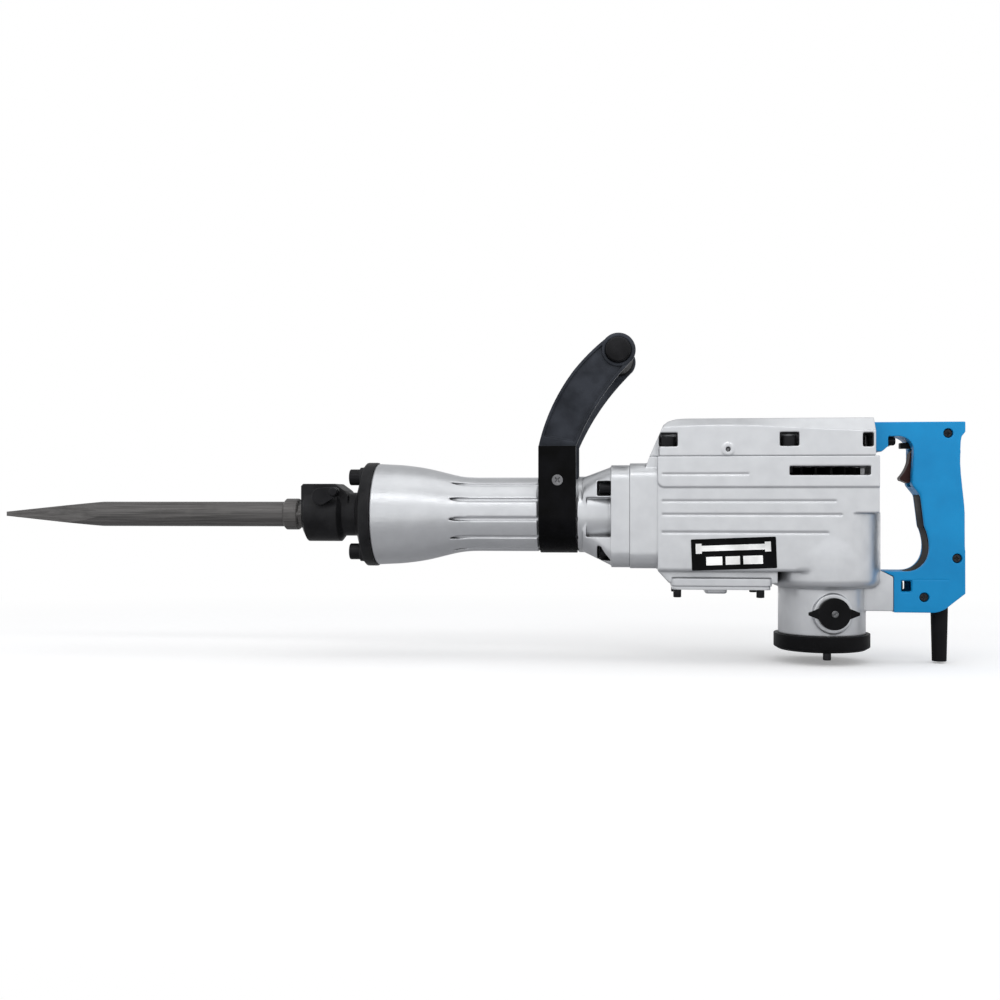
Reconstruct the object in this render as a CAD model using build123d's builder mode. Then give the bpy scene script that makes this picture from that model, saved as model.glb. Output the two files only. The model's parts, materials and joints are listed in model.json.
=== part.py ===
"""Electric demolition hammer with a 30 mm hex point chisel, modelled in millimetres.

Frame: +X runs along the hammer axis from the chisel to the rear handle, +Z is up, and the
origin is on the hammer axis at the front face of the tool holder.  The motor hangs below the
gear case with its shaft along Z.  Motor shaft, middle shaft and crankshaft are parallel.
"""

import os
from math import atan, cos, pi, radians, sin, sqrt, tan

from build123d import *

os.makedirs("parts", exist_ok=True)

# ------------------------------------------------------------------ driving dimensions
FIT = 0.08  # radial clearance between a turned part and the bore it moves in
GAP = 0.3  # clearance between pieces that only lie close to each other

# point chisel
CHISEL_TIP, TAPER_END, COLLAR_FRONT, COLLAR_REAR, SHANK_END = -359, -240, -23.5, -6, 80
CHISEL_R, COLLAR_R, HEX_FLATS = 14.2, 17.8, 30
NOTCH_END, NOTCH_FLOOR = 46, 9.8

# stop lever, a half-round pin across the nose
STOP_X, STOP_Z, STOP_R, STOP_FLAT = 25.8, 20.2, 8, 4.4
KNOB_X, KNOB_Z = 41.5, 25

# stations along the hammer axis
NECK_START, NECK_END, FLANGE_FRONT, CASE_FRONT = 47, 62, 73, 85
SEAT_FRONT, SEAT_REAR, RING_REAR = 269, 312, 318
CASE_FLANGE, CASE_REAR = 349, 369
BODY_FRONT, COVER_REAR, BODY_REAR = 399, 626, 630
SLEEVE_REAR, DAMPER_REAR, LINER_REAR = 146, 156, 385

# radii about the hammer axis
NOSE_R, NECK_R, FLANGE_R, CASE_R, BARREL_R, SEAT_R = 30.8, 24.6, 58.5, 57, 41.3, 39.2
CASE_BORE, LINER_BORE, SLEEVE_BORE, BOLT_R = 35, 29, 22, 14

# vertical shafts and their gears
CRANK_X, MIDDLE_X, MOTOR_X = 479, 534, 578
FIRST_MODULE, FIRST_PINION, FIRST_GEAR = 2.0, 9, 35
SECOND_MODULE, SECOND_PINION, SECOND_GEAR = 2.5, 11, 33
FIRST_LOW, FIRST_HIGH, SECOND_LOW, SECOND_HIGH = 64, 73, 74.6, 84.6
THROW, ROD_LENGTH, ROD_HALF = 16, 130, 8
PIN_X = CRANK_X - THROW - ROD_LENGTH  # piston pin at rest

# ball bearings, all of one size
RACE_BORE, RACE_R, RACE_WIDTH = 7.5, 16, 9
PLATE_LOW, COVER_RACE_LOW, TAIL_RACE_LOW = 52, 88, -143

# gear case
BODY_W, PANEL_W, NECK_W = 55, 56.5, 53
SEAM_Z, COVER_TOP, BODY_BOTTOM, LIP_TOP, LIP_BOTTOM = 63, 103.6, -60, -67.7, -76.3
COVER_BOLT_SEAT, COVER_BOLT_Y = 73.4, 48.5
COVER_BOLT_X = (410, 537)

# motor
BULGE_X, BULGE_R, BARREL_LOW_R, MOTOR_BORE, LOWER_BORE = 581, 59, 46.7, 46.2, 42
BULGE_BOTTOM, MOTOR_BOTTOM, TAIL_R, TAIL_BOTTOM = -78, -129, 51.5, -146.5
BRUSH_Z, BRUSH_BOSS_Y, CAP_R, BRUSH_TURN = -104.3, 49.5, 17, radians(6.5)
TAIL_SCREW_Y = 39.5

# rear handle
HANDLE_W, WALL = 20, 3.2
HANDLE_TOP, HANDLE_BOTTOM, HANDLE_FRONT, HANDLE_REAR = 100, -104.8, 651.3, 725.7
HANDLE_BOLT_Z, FOOT_BOLT_Z = 79.7, -76.5
TRIGGER_X, TRIGGER_Z = 677, 67
GUARD_X, GUARD_BOTTOM = 703, -158.6

# side handle
STRAP_R, STRAP_IN, STRAP_TOP = 42.8, 39.28, 75
GRIP_X, GRIP_Z, ARM_SPREAD = 357, 176, 59


# near and far side planes, and the same two turned about the motor shaft for the brush gear
SIDES = (Plane.XZ, Plane(origin=(0, 0, 0), x_dir=(1, 0, 0), z_dir=(0, 1, 0)))
BRUSH_SIDES = [
    Plane(
        origin=(MOTOR_X, 0, 0), x_dir=(cos(BRUSH_TURN), sin(BRUSH_TURN), 0),
        z_dir=(side * sin(BRUSH_TURN), -side * cos(BRUSH_TURN), 0),
    )
    for side in (1, -1)
]
BRUSH_CENTRES = (BRUSH_Z, -BRUSH_Z)  # the far plane has its own y axis pointing down


# ------------------------------------------------------------------ helpers
def save(piece, label):
    """Labels a finished piece and writes its STEP file."""
    piece.part.label = label
    export_step(piece.part, f"parts/{label}.step")


def mirrored(*points):
    """Each (y, z) point and its mirror image across the middle plane."""
    return [(side * y, z) for y, z in points for side in (-1, 1)]


def gear_points(x, teeth, module, addendum, phase):
    """Corners of a spur gear with sampled involute flanks; phase turns its first tooth's centre."""
    pitch_r = module * teeth / 2
    base_r = pitch_r * cos(pi / 9)
    root_r = pitch_r - 1.25 * module
    start_r = max(base_r, root_r)
    half_pitch_tooth = pi / (2 * teeth) - 0.12 / pitch_r

    def half_angle(r):
        unwound = sqrt(max((r / base_r) ** 2 - 1, 0))
        return half_pitch_tooth + tan(pi / 9) - pi / 9 - (unwound - atan(unwound))

    radii = [start_r + (pitch_r + addendum - start_r) * i / 4 for i in range(5)]
    flank = [(root_r, half_angle(start_r))] + [(r, half_angle(r)) for r in radii]
    corners = [(r, -half) for r, half in flank] + [(r, half) for r, half in reversed(flank)]
    return [
        (x + r * cos(phase + 2 * pi * k / teeth + a), r * sin(phase + 2 * pi * k / teeth + a))
        for k in range(teeth)
        for r, a in corners
    ]


# ------------------------------------------------------------------ point chisel
with BuildPart() as point_chisel:
    # four-sided forged point that runs out into the round shaft
    with BuildSketch(Plane.YZ.offset(CHISEL_TIP)):
        Rectangle(5, 5)
    with BuildSketch(Plane.YZ.offset(TAPER_END)):
        Rectangle(2 * CHISEL_R, 2 * CHISEL_R)
    loft()
    with BuildSketch(Plane.YZ.offset(CHISEL_TIP)):
        Circle(CHISEL_R)
    extrude(amount=TAPER_END - CHISEL_TIP, mode=Mode.INTERSECT)
    with BuildSketch(Plane.XZ):
        with BuildLine():
            Polyline(
                (TAPER_END, 0),
                (TAPER_END, CHISEL_R),
                (COLLAR_FRONT, CHISEL_R),
                (COLLAR_FRONT, COLLAR_R - 2),
                (COLLAR_FRONT + 2, COLLAR_R),
                (COLLAR_REAR - 2, COLLAR_R),
                (COLLAR_REAR, COLLAR_R - 1.5),
                (COLLAR_REAR, 0),
                close=True,
            )
        make_face()
    revolve(axis=Axis.X)
    # hex shank, flats above and below, with the notch that the stop lever holds
    with BuildSketch(Plane.YZ.offset(COLLAR_REAR)):
        RegularPolygon(HEX_FLATS / 2, 6, major_radius=False)
    extrude(amount=SHANK_END - 2 - COLLAR_REAR)
    with BuildSketch(Plane.YZ.offset(SHANK_END - 2)):
        RegularPolygon(HEX_FLATS / 2, 6, major_radius=False)
    extrude(amount=2, taper=40)
    with BuildSketch(Plane.XZ):
        with BuildLine():
            Polyline(
                (COLLAR_REAR, NOTCH_FLOOR),
                (NOTCH_END - 6, NOTCH_FLOOR),
                (NOTCH_END, HEX_FLATS / 2 + 1),
                (COLLAR_REAR, HEX_FLATS / 2 + 1),
                close=True,
            )
        make_face()
    extrude(amount=HEX_FLATS, both=True, mode=Mode.SUBTRACT)
save(point_chisel, "point_chisel")

# ------------------------------------------------------------------ front cover and its parts
COVER_BOLTS = mirrored((22, 41.5), (22, -41.5))
BOLT_SEAT = 69

with BuildPart() as front_cover:
    with BuildSketch(Plane.XZ):
        with BuildLine():
            Polyline(
                (0, 0),
                (0, 22),
                (4.7, NOSE_R),
                (NECK_START - 5, NOSE_R),
                (NECK_START, NECK_R),
                (NECK_END, NECK_R),
                (FLANGE_FRONT, FLANGE_R - 1),
                (FLANGE_FRONT + 1, FLANGE_R),
                (CASE_FRONT, FLANGE_R),
                (CASE_FRONT, 0),
                close=True,
            )
        make_face()
    revolve(axis=Axis.X)
    # raised block over the stop lever
    with BuildSketch(Plane.XZ):
        with BuildLine():
            Polyline((0, 0), (0, 32), (2.4, 34.4), (39, 34.4), (50, 26.4), (54, 20), (54, 0), close=True)
        make_face()
    extrude(amount=22, both=True)
    # bolt bosses with room for the heads
    with BuildSketch(Plane.YZ.offset(BOLT_SEAT)):
        with Locations(*COVER_BOLTS):
            Circle(11)
    extrude(amount=FLANGE_FRONT + 2 - BOLT_SEAT)
    with BuildSketch(Plane.YZ.offset(BOLT_SEAT)):
        with Locations(*COVER_BOLTS):
            Circle(10)
    extrude(amount=-14, mode=Mode.SUBTRACT)
    with BuildSketch(Plane.YZ.offset(BOLT_SEAT - 1)):
        with Locations(*COVER_BOLTS):
            Circle(6.2)
    extrude(amount=CASE_FRONT - BOLT_SEAT + 2, mode=Mode.SUBTRACT)
    # bore for seal and hex sleeve behind a front lip
    with BuildSketch(Plane.YZ.offset(-1)):
        Circle(18.6)
    extrude(amount=5, mode=Mode.SUBTRACT)
    with BuildSketch(Plane.YZ.offset(3)):
        Circle(SLEEVE_BORE)
    extrude(amount=CASE_FRONT, mode=Mode.SUBTRACT)
    with BuildSketch(Plane.XZ):
        with Locations((STOP_X, STOP_Z)):
            Circle(STOP_R + FIT)
    extrude(amount=NOSE_R + 5, both=True, mode=Mode.SUBTRACT)
save(front_cover, "front_cover")

with BuildPart() as front_cover_bolts:
    with BuildSketch(Plane.YZ.offset(BOLT_SEAT)):
        with Locations(*COVER_BOLTS):
            Circle(9)
    extrude(amount=-12)
    chamfer(front_cover_bolts.faces().sort_by(Axis.X)[:4].edges(), 0.8)
    with BuildSketch(Plane.YZ.offset(BOLT_SEAT - 12)):
        with Locations(*COVER_BOLTS):
            RegularPolygon(5, 6, major_radius=False)
    extrude(amount=6, mode=Mode.SUBTRACT)
    with BuildSketch(Plane.YZ.offset(BOLT_SEAT)):
        with Locations(*COVER_BOLTS):
            Circle(6)
    extrude(amount=42)
save(front_cover_bolts, "front_cover_bolts")

with BuildPart() as dust_seal:
    with BuildSketch(Plane.XZ):
        with BuildLine():
            Polyline((3.2, 21.9), (7.8, 21.9), (7.8, 19.6), (5.6, 17.9), (3.2, 17.9), close=True)
        make_face()
    revolve(axis=Axis.X)
save(dust_seal, "dust_seal")

with BuildPart() as hex_sleeve:
    with BuildSketch(Plane.YZ.offset(8)):
        Circle(SLEEVE_BORE - 0.05)
        RegularPolygon(HEX_FLATS / 2 + FIT, 6, major_radius=False, mode=Mode.SUBTRACT)
    extrude(amount=CASE_FRONT - 8)
    with BuildSketch(Plane.XZ):
        with Locations((STOP_X, STOP_Z)):
            Circle(STOP_R + GAP)
    extrude(amount=NOSE_R, both=True, mode=Mode.SUBTRACT)
save(hex_sleeve, "hex_sleeve")

with BuildPart() as stop_lever:
    # pin, cut to a half-moon where the shank passes
    with BuildSketch(Plane.XZ.offset(-NOSE_R)):
        with Locations((STOP_X, STOP_Z)):
            Circle(STOP_R)
    extrude(amount=2 * NOSE_R + 3)
    with BuildSketch(Plane.XY.offset(STOP_Z + STOP_FLAT)):
        with Locations((STOP_X, 0)):
            Rectangle(20, 38)
    extrude(amount=STOP_R, mode=Mode.SUBTRACT)
    # lever with its knob, outside the nose on the near side
    with BuildSketch(Plane.XZ.offset(NOSE_R + 0.6)):
        with Locations((STOP_X, STOP_Z)):
            Circle(9.5)
        with Locations((KNOB_X, KNOB_Z)):
            Circle(5.5)
        make_hull()
    extrude(amount=5.5)
    with BuildSketch(Plane.XZ.offset(NOSE_R + 6.1)):
        with Locations((KNOB_X, KNOB_Z)):
            Circle(5)
    extrude(amount=6.5)
    fillet(stop_lever.faces().sort_by(Axis.Y)[0].edges(), 1.6)
save(stop_lever, "stop_lever")

# ------------------------------------------------------------------ impact bolt group
with BuildPart() as impact_bolt:
    with BuildSketch(Plane.XZ):
        with BuildLine():
            Polyline(
                (87, 0), (87, BOLT_R - 1.5), (88.5, BOLT_R), (112, BOLT_R), (114, 19), (132, 19),
                (133.5, BOLT_R), (158.5, BOLT_R), (160, BOLT_R - 1.5), (160, 0), close=True,
            )
        make_face()
    revolve(axis=Axis.X)
save(impact_bolt, "impact_bolt")

with BuildPart() as impact_bolt_sleeve:
    with BuildSketch(Plane.XZ):
        with BuildLine():
            Polyline(
                (CASE_FRONT + 0.5, BOLT_R + FIT), (106, BOLT_R + FIT), (108, 19.3), (SLEEVE_REAR, 19.3),
                (SLEEVE_REAR, CASE_BORE - 0.05), (CASE_FRONT + 0.5, CASE_BORE - 0.05), close=True,
            )
        make_face()
    revolve(axis=Axis.X)
save(impact_bolt_sleeve, "impact_bolt_sleeve")

with BuildPart() as damper_ring:
    with BuildSketch(Plane.YZ.offset(SLEEVE_REAR)):
        Circle(CASE_BORE - 0.1)
        Circle(BOLT_R + 0.6, mode=Mode.SUBTRACT)
    extrude(amount=DAMPER_REAR - SLEEVE_REAR)
save(damper_ring, "damper_ring")

with BuildPart() as cylinder_liner:
    with BuildSketch(Plane.YZ.offset(DAMPER_REAR)):
        Circle(CASE_BORE - 0.05)
        Circle(LINER_BORE, mode=Mode.SUBTRACT)
    extrude(amount=LINER_REAR - DAMPER_REAR)
    # air ports that let the striker idle
    with BuildSketch(Plane.XZ):
        with Locations((246, 0), (286, 0)):
            Circle(2.5)
    extrude(amount=CASE_BORE, both=True, mode=Mode.SUBTRACT)
save(cylinder_liner, "cylinder_liner")

STRIKER_FRONT, STRIKER_REAR, RING_WIDTH = 180, 236, 3
STRIKER_RINGS = (190, 224)
with BuildPart() as striker:
    with BuildSketch(Plane.YZ.offset(STRIKER_FRONT)):
        Circle(LINER_BORE - FIT)
    extrude(amount=STRIKER_REAR - STRIKER_FRONT)
    chamfer(striker.edges().filter_by(GeomType.CIRCLE), 2)
    for station in STRIKER_RINGS:
        with BuildSketch(Plane.YZ.offset(station)):
            Circle(LINER_BORE)
            Circle(LINER_BORE - 3, mode=Mode.SUBTRACT)
        extrude(amount=RING_WIDTH, mode=Mode.SUBTRACT)
save(striker, "striker")

with BuildPart() as striker_o_rings:
    for station in STRIKER_RINGS:
        with BuildSketch(Plane.YZ.offset(station + 0.1)):
            Circle(LINER_BORE - 0.02)
            Circle(LINER_BORE - 2.9, mode=Mode.SUBTRACT)
        extrude(amount=RING_WIDTH - 0.2)
save(striker_o_rings, "striker_o_rings")

# ------------------------------------------------------------------ piston and rod
PISTON_FRONT, PISTON_REAR, PISTON_RING = PIN_X - 31, PIN_X + 19, PIN_X - 25
with BuildPart() as piston:
    with BuildSketch(Plane.YZ.offset(PISTON_FRONT)):
        Circle(LINER_BORE - FIT)
    extrude(amount=PISTON_REAR - PISTON_FRONT)
    with BuildSketch(Plane.YZ.offset(PISTON_RING)):
        Circle(LINER_BORE)
        Circle(LINER_BORE - 3, mode=Mode.SUBTRACT)
    extrude(amount=RING_WIDTH, mode=Mode.SUBTRACT)
    # slot for the rod's small end
    with BuildSketch(Plane.XY):
        with Locations((PIN_X + 10, 0)):
            Rectangle(50, 38)
    extrude(amount=ROD_HALF + 0.5, both=True, mode=Mode.SUBTRACT)
    with BuildSketch(Plane.XY):
        with Locations((PIN_X, 0)):
            Circle(7 + FIT)
    extrude(amount=LINER_BORE, both=True, mode=Mode.SUBTRACT)
save(piston, "piston")

with BuildPart() as piston_ring:
    with BuildSketch(Plane.YZ.offset(PISTON_RING + 0.1)):
        Circle(LINER_BORE - 0.02)
        Circle(LINER_BORE - 2.9, mode=Mode.SUBTRACT)
    extrude(amount=RING_WIDTH - 0.2)
save(piston_ring, "piston_ring")

with BuildPart() as piston_pin:
    with BuildSketch(Plane.XY.offset(-24)):
        with Locations((PIN_X, 0)):
            Circle(7)
            Circle(3, mode=Mode.SUBTRACT)
    extrude(amount=48)
save(piston_pin, "piston_pin")

BIG_END_X = PIN_X + ROD_LENGTH
with BuildPart() as connecting_rod:
    with BuildSketch(Plane.XY.offset(-ROD_HALF)):
        with Locations((PIN_X, 0)):
            Circle(12)
        with Locations((BIG_END_X, 0)):
            Circle(17)
    extrude(amount=2 * ROD_HALF)
    with BuildSketch(Plane.XY.offset(-6)):
        with BuildLine():
            Polyline(
                (PIN_X + 8, 7), (BIG_END_X - 13, 10), (BIG_END_X - 13, -10), (PIN_X + 8, -7), close=True
            )
        make_face()
    extrude(amount=12)
    for face in (6, -6):
        with BuildSketch(Plane.XY.offset(face)):
            with BuildLine():
                Polyline(
                    (PIN_X + 17, 3.5), (BIG_END_X - 23, 6), (BIG_END_X - 23, -6), (PIN_X + 17, -3.5),
                    close=True,
                )
            make_face()
        extrude(amount=-3.5 if face > 0 else 3.5, mode=Mode.SUBTRACT)
    with BuildSketch(Plane.XY):
        with Locations((PIN_X, 0)):
            Circle(7 + FIT)
        with Locations((BIG_END_X, 0)):
            Circle(9 + FIT)
    extrude(amount=2 * ROD_HALF, both=True, mode=Mode.SUBTRACT)
save(connecting_rod, "connecting_rod")

# ------------------------------------------------------------------ gear train
SHAFT_R = RACE_BORE - FIT
with BuildPart() as crankshaft:
    with BuildSketch(Plane.XY.offset(12)):
        with Locations((CRANK_X, 0)):
            Circle(31)
        with Locations((CRANK_X - 24, 0)):
            Rectangle(26, 70, mode=Mode.SUBTRACT)
        with Locations((CRANK_X - THROW, 0)):
            Circle(13)
        with Locations((CRANK_X - THROW / 2, 0)):
            Rectangle(THROW, 26)
    extrude(amount=13)
    # crank pin, which ends just above the rod's big end
    with BuildSketch(Plane.XY.offset(12)):
        with Locations((CRANK_X - THROW, 0)):
            Circle(9)
    extrude(amount=ROD_HALF + 0.5 - 12)
    with BuildSketch(Plane.XY.offset(25)):
        with Locations((CRANK_X, 0)):
            Circle(11)
    extrude(amount=PLATE_LOW - 25)
    with BuildSketch(Plane.XY.offset(PLATE_LOW)):
        with Locations((CRANK_X, 0)):
            Circle(SHAFT_R)
    extrude(amount=COVER_RACE_LOW + RACE_WIDTH - PLATE_LOW)
    with BuildSketch(Plane.XY.offset(PLATE_LOW + RACE_WIDTH + 0.5)):
        with Locations((CRANK_X, 0)):
            Circle(9.5)
    extrude(amount=COVER_RACE_LOW - PLATE_LOW - RACE_WIDTH - 1)
save(crankshaft, "crankshaft")

with BuildPart() as final_gear:
    with BuildSketch(Plane.XY.offset(SECOND_LOW)):
        with BuildLine():
            Polyline(*gear_points(CRANK_X, SECOND_GEAR, SECOND_MODULE, 1.5, pi / SECOND_GEAR), close=True)
        make_face()
        with Locations((CRANK_X, 0)):
            Circle(9.5, mode=Mode.SUBTRACT)
            with PolarLocations(24, 6):
                Circle(7, mode=Mode.SUBTRACT)
    extrude(amount=SECOND_HIGH - SECOND_LOW)
save(final_gear, "final_gear")

with BuildPart() as middle_shaft:
    with BuildSketch(Plane.XY.offset(PLATE_LOW)):
        with Locations((MIDDLE_X, 0)):
            Circle(SHAFT_R)
    extrude(amount=COVER_RACE_LOW + RACE_WIDTH - PLATE_LOW)
    with BuildSketch(Plane.XY.offset(PLATE_LOW + RACE_WIDTH + 0.5)):
        with Locations((MIDDLE_X, 0)):
            Circle(9.5)
    extrude(amount=COVER_RACE_LOW - PLATE_LOW - RACE_WIDTH - 1)
    with BuildSketch(Plane.XY.offset(SECOND_LOW - 0.5)):
        with BuildLine():
            Polyline(*gear_points(MIDDLE_X, SECOND_PINION, SECOND_MODULE, 2.4, pi), close=True)
        make_face()
    extrude(amount=SECOND_HIGH - SECOND_LOW + 0.8)
save(middle_shaft, "middle_shaft")

with BuildPart() as middle_gear:
    with BuildSketch(Plane.XY.offset(FIRST_LOW)):
        with BuildLine():
            Polyline(*gear_points(MIDDLE_X, FIRST_GEAR, FIRST_MODULE, 1.0, pi / FIRST_GEAR), close=True)
        make_face()
        with Locations((MIDDLE_X, 0)):
            Circle(9.5, mode=Mode.SUBTRACT)
    extrude(amount=FIRST_HIGH - FIRST_LOW)
save(middle_gear, "middle_gear")


def ball_bearing(x, low):
    """Sealed ball bearing about a vertical shaft, one turned solid with recessed seals."""
    with BuildPart() as bearing:
        with BuildSketch(Plane.XZ):
            with Locations((x + (RACE_BORE + RACE_R) / 2, low + RACE_WIDTH / 2)):
                Rectangle(RACE_R - RACE_BORE, RACE_WIDTH)
            for end in (low + 0.4, low + RACE_WIDTH - 0.4):
                with Locations((x + (RACE_BORE + RACE_R) / 2, end)):
                    Rectangle(RACE_R - RACE_BORE - 4.6, 0.8, mode=Mode.SUBTRACT)
        revolve(axis=Axis((x, 0, 0), (0, 0, 1)))
    return bearing.part


gear_race_parts = [ball_bearing(x, low) for x in (CRANK_X, MIDDLE_X) for low in (PLATE_LOW, COVER_RACE_LOW)]
motor_race_parts = [ball_bearing(MOTOR_X, low) for low in (PLATE_LOW, TAIL_RACE_LOW)]
with BuildPart() as gear_bearings:
    add(gear_race_parts)
save(gear_bearings, "gear_bearings")
with BuildPart() as motor_bearings:
    add(motor_race_parts)
save(motor_bearings, "motor_bearings")

# ------------------------------------------------------------------ cylinder case
CASE_BOLTS = mirrored((41, 28.7), (30, -41.5))
FLANGE_TOP, FLANGE_BOTTOM = 54, -57

with BuildPart() as cylinder_case:
    # flared front, fluted barrel with the side handle's seat, and a stop ring
    with BuildSketch(Plane.XZ):
        with BuildLine():
            Line((CASE_FRONT, 0), (CASE_FRONT, CASE_R - 1))
            Line((CASE_FRONT, CASE_R - 1), (CASE_FRONT + 2, CASE_R))
            Line((CASE_FRONT + 2, CASE_R), (107, 56))
            Spline(
                (107, 56), (124, 54.4), (142, 51.6), (169, 45.1), (202, BARREL_R),
                tangents=((22, -1), (1, 0)),
            )
            Polyline(
                (202, BARREL_R), (SEAT_FRONT - 1, BARREL_R), (SEAT_FRONT, SEAT_R), (SEAT_REAR, SEAT_R),
                (SEAT_REAR, BARREL_R), (SEAT_REAR + 1, BARREL_R + 1), (RING_REAR, BARREL_R + 1),
                (CASE_FLANGE, BARREL_R + 1), (CASE_FLANGE, 0),
            )
            Line((CASE_FLANGE, 0), (CASE_FRONT, 0))
        make_face()
    revolve(axis=Axis.X)
    # shoulder that widens to the rear flange, open at both sides and at the bolt heads
    with BuildSketch(Plane.YZ.offset(RING_REAR)):
        RectangleRounded(80, 82, 26)
    with BuildSketch(Plane.YZ.offset(CASE_FLANGE)):
        with Locations((0, -1.5)):
            RectangleRounded(2 * NECK_W - 2, FLANGE_TOP - FLANGE_BOTTOM - 4, 18)
    loft()
    with BuildSketch(Plane.XZ):
        with BuildLine():
            Polyline((322, -24), (322, 19), (CASE_FLANGE, 19), (CASE_FLANGE, -24), close=True)
        make_face()
    extrude(amount=70, both=True, mode=Mode.SUBTRACT)
    with BuildSketch(Plane.YZ.offset(334)):
        with Locations(*CASE_BOLTS):
            Circle(8)
        with Locations(*[(1.25 * y, z) for y, z in CASE_BOLTS]):
            Rectangle(18, 16)
    extrude(amount=CASE_FLANGE - 334, mode=Mode.SUBTRACT)
    with BuildSketch(Plane.YZ.offset(RING_REAR)):
        Circle(BARREL_R + 0.7)
    extrude(amount=CASE_FLANGE - RING_REAR)
    with BuildSketch(Plane.YZ.offset(CASE_FLANGE)):
        with Locations((0, (FLANGE_TOP + FLANGE_BOTTOM) / 2)):
            RectangleRounded(2 * NECK_W, FLANGE_TOP - FLANGE_BOTTOM, 18)
    extrude(amount=CASE_REAR - CASE_FLANGE)
    # flutes, pointed at the front
    for k in range(12):
        angle = pi * (23.5 + 30 * k) / 180
        outward = Plane(origin=(0, 0, 0), x_dir=(1, 0, 0), z_dir=(0, -cos(angle), sin(angle)))
        with BuildSketch(outward.offset(SEAT_R + 0.2)):
            with BuildLine():
                Polyline((168, 0), (180, 2.2), (RING_REAR - 5, 2.2), (RING_REAR - 5, -2.2), (180, -2.2),
                         close=True)
            make_face()
        extrude(amount=9, mode=Mode.SUBTRACT)
    with BuildSketch(Plane.YZ.offset(CASE_FRONT - 1)):
        Circle(CASE_BORE)
    extrude(amount=CASE_REAR, mode=Mode.SUBTRACT)
    with BuildSketch(Plane.YZ.offset(CASE_FRONT - 1)):
        with Locations(*COVER_BOLTS):
            Circle(6.1)
    extrude(amount=30, mode=Mode.SUBTRACT)
    with BuildSketch(Plane.YZ.offset(CASE_FLANGE - 1)):
        with Locations(*CASE_BOLTS):
            Circle(4.2)
    extrude(amount=CASE_REAR, mode=Mode.SUBTRACT)
save(cylinder_case, "cylinder_case")

with BuildPart() as cylinder_case_bolts:
    with BuildSketch(Plane.YZ.offset(CASE_FLANGE)):
        with Locations(*CASE_BOLTS):
            Circle(6.5)
    extrude(amount=-12.5)
    chamfer(cylinder_case_bolts.faces().sort_by(Axis.X)[:4].edges(), 0.6)
    with BuildSketch(Plane.YZ.offset(CASE_FLANGE - 12.5)):
        with Locations(*CASE_BOLTS):
            RegularPolygon(3.5, 6, major_radius=False)
    extrude(amount=5, mode=Mode.SUBTRACT)
    with BuildSketch(Plane.YZ.offset(CASE_FLANGE)):
        with Locations(*CASE_BOLTS):
            Circle(4)
    extrude(amount=40)
save(cylinder_case_bolts, "cylinder_case_bolts")

# ------------------------------------------------------------------ main housing
PLATE_TOP = PLATE_LOW + RACE_WIDTH
CHAMBER_REAR, CHAMBER_W, CHAMBER_BOTTOM = 516, 46, -52
LEDGE_Z, ROUND_X = 2.5, 602
BULGE_TOP, BULGE_TAPER, BULGE_ROUND = -42, 24, 9
VENT_LEFT, VENT_RIGHT, VENT_LOW, VENT_HIGH = 537, 620.6, 42.4, 52
LIP_FRONT, LIP_REAR, LIP_W = 411, 520, 49
BOTTOM_BOLTS = [(x, y) for x in (420, 508) for y in (-42, 42)]
FOOT_BOLTS = [(y, FOOT_BOLT_Z) for y in (-9, 9)]

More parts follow.
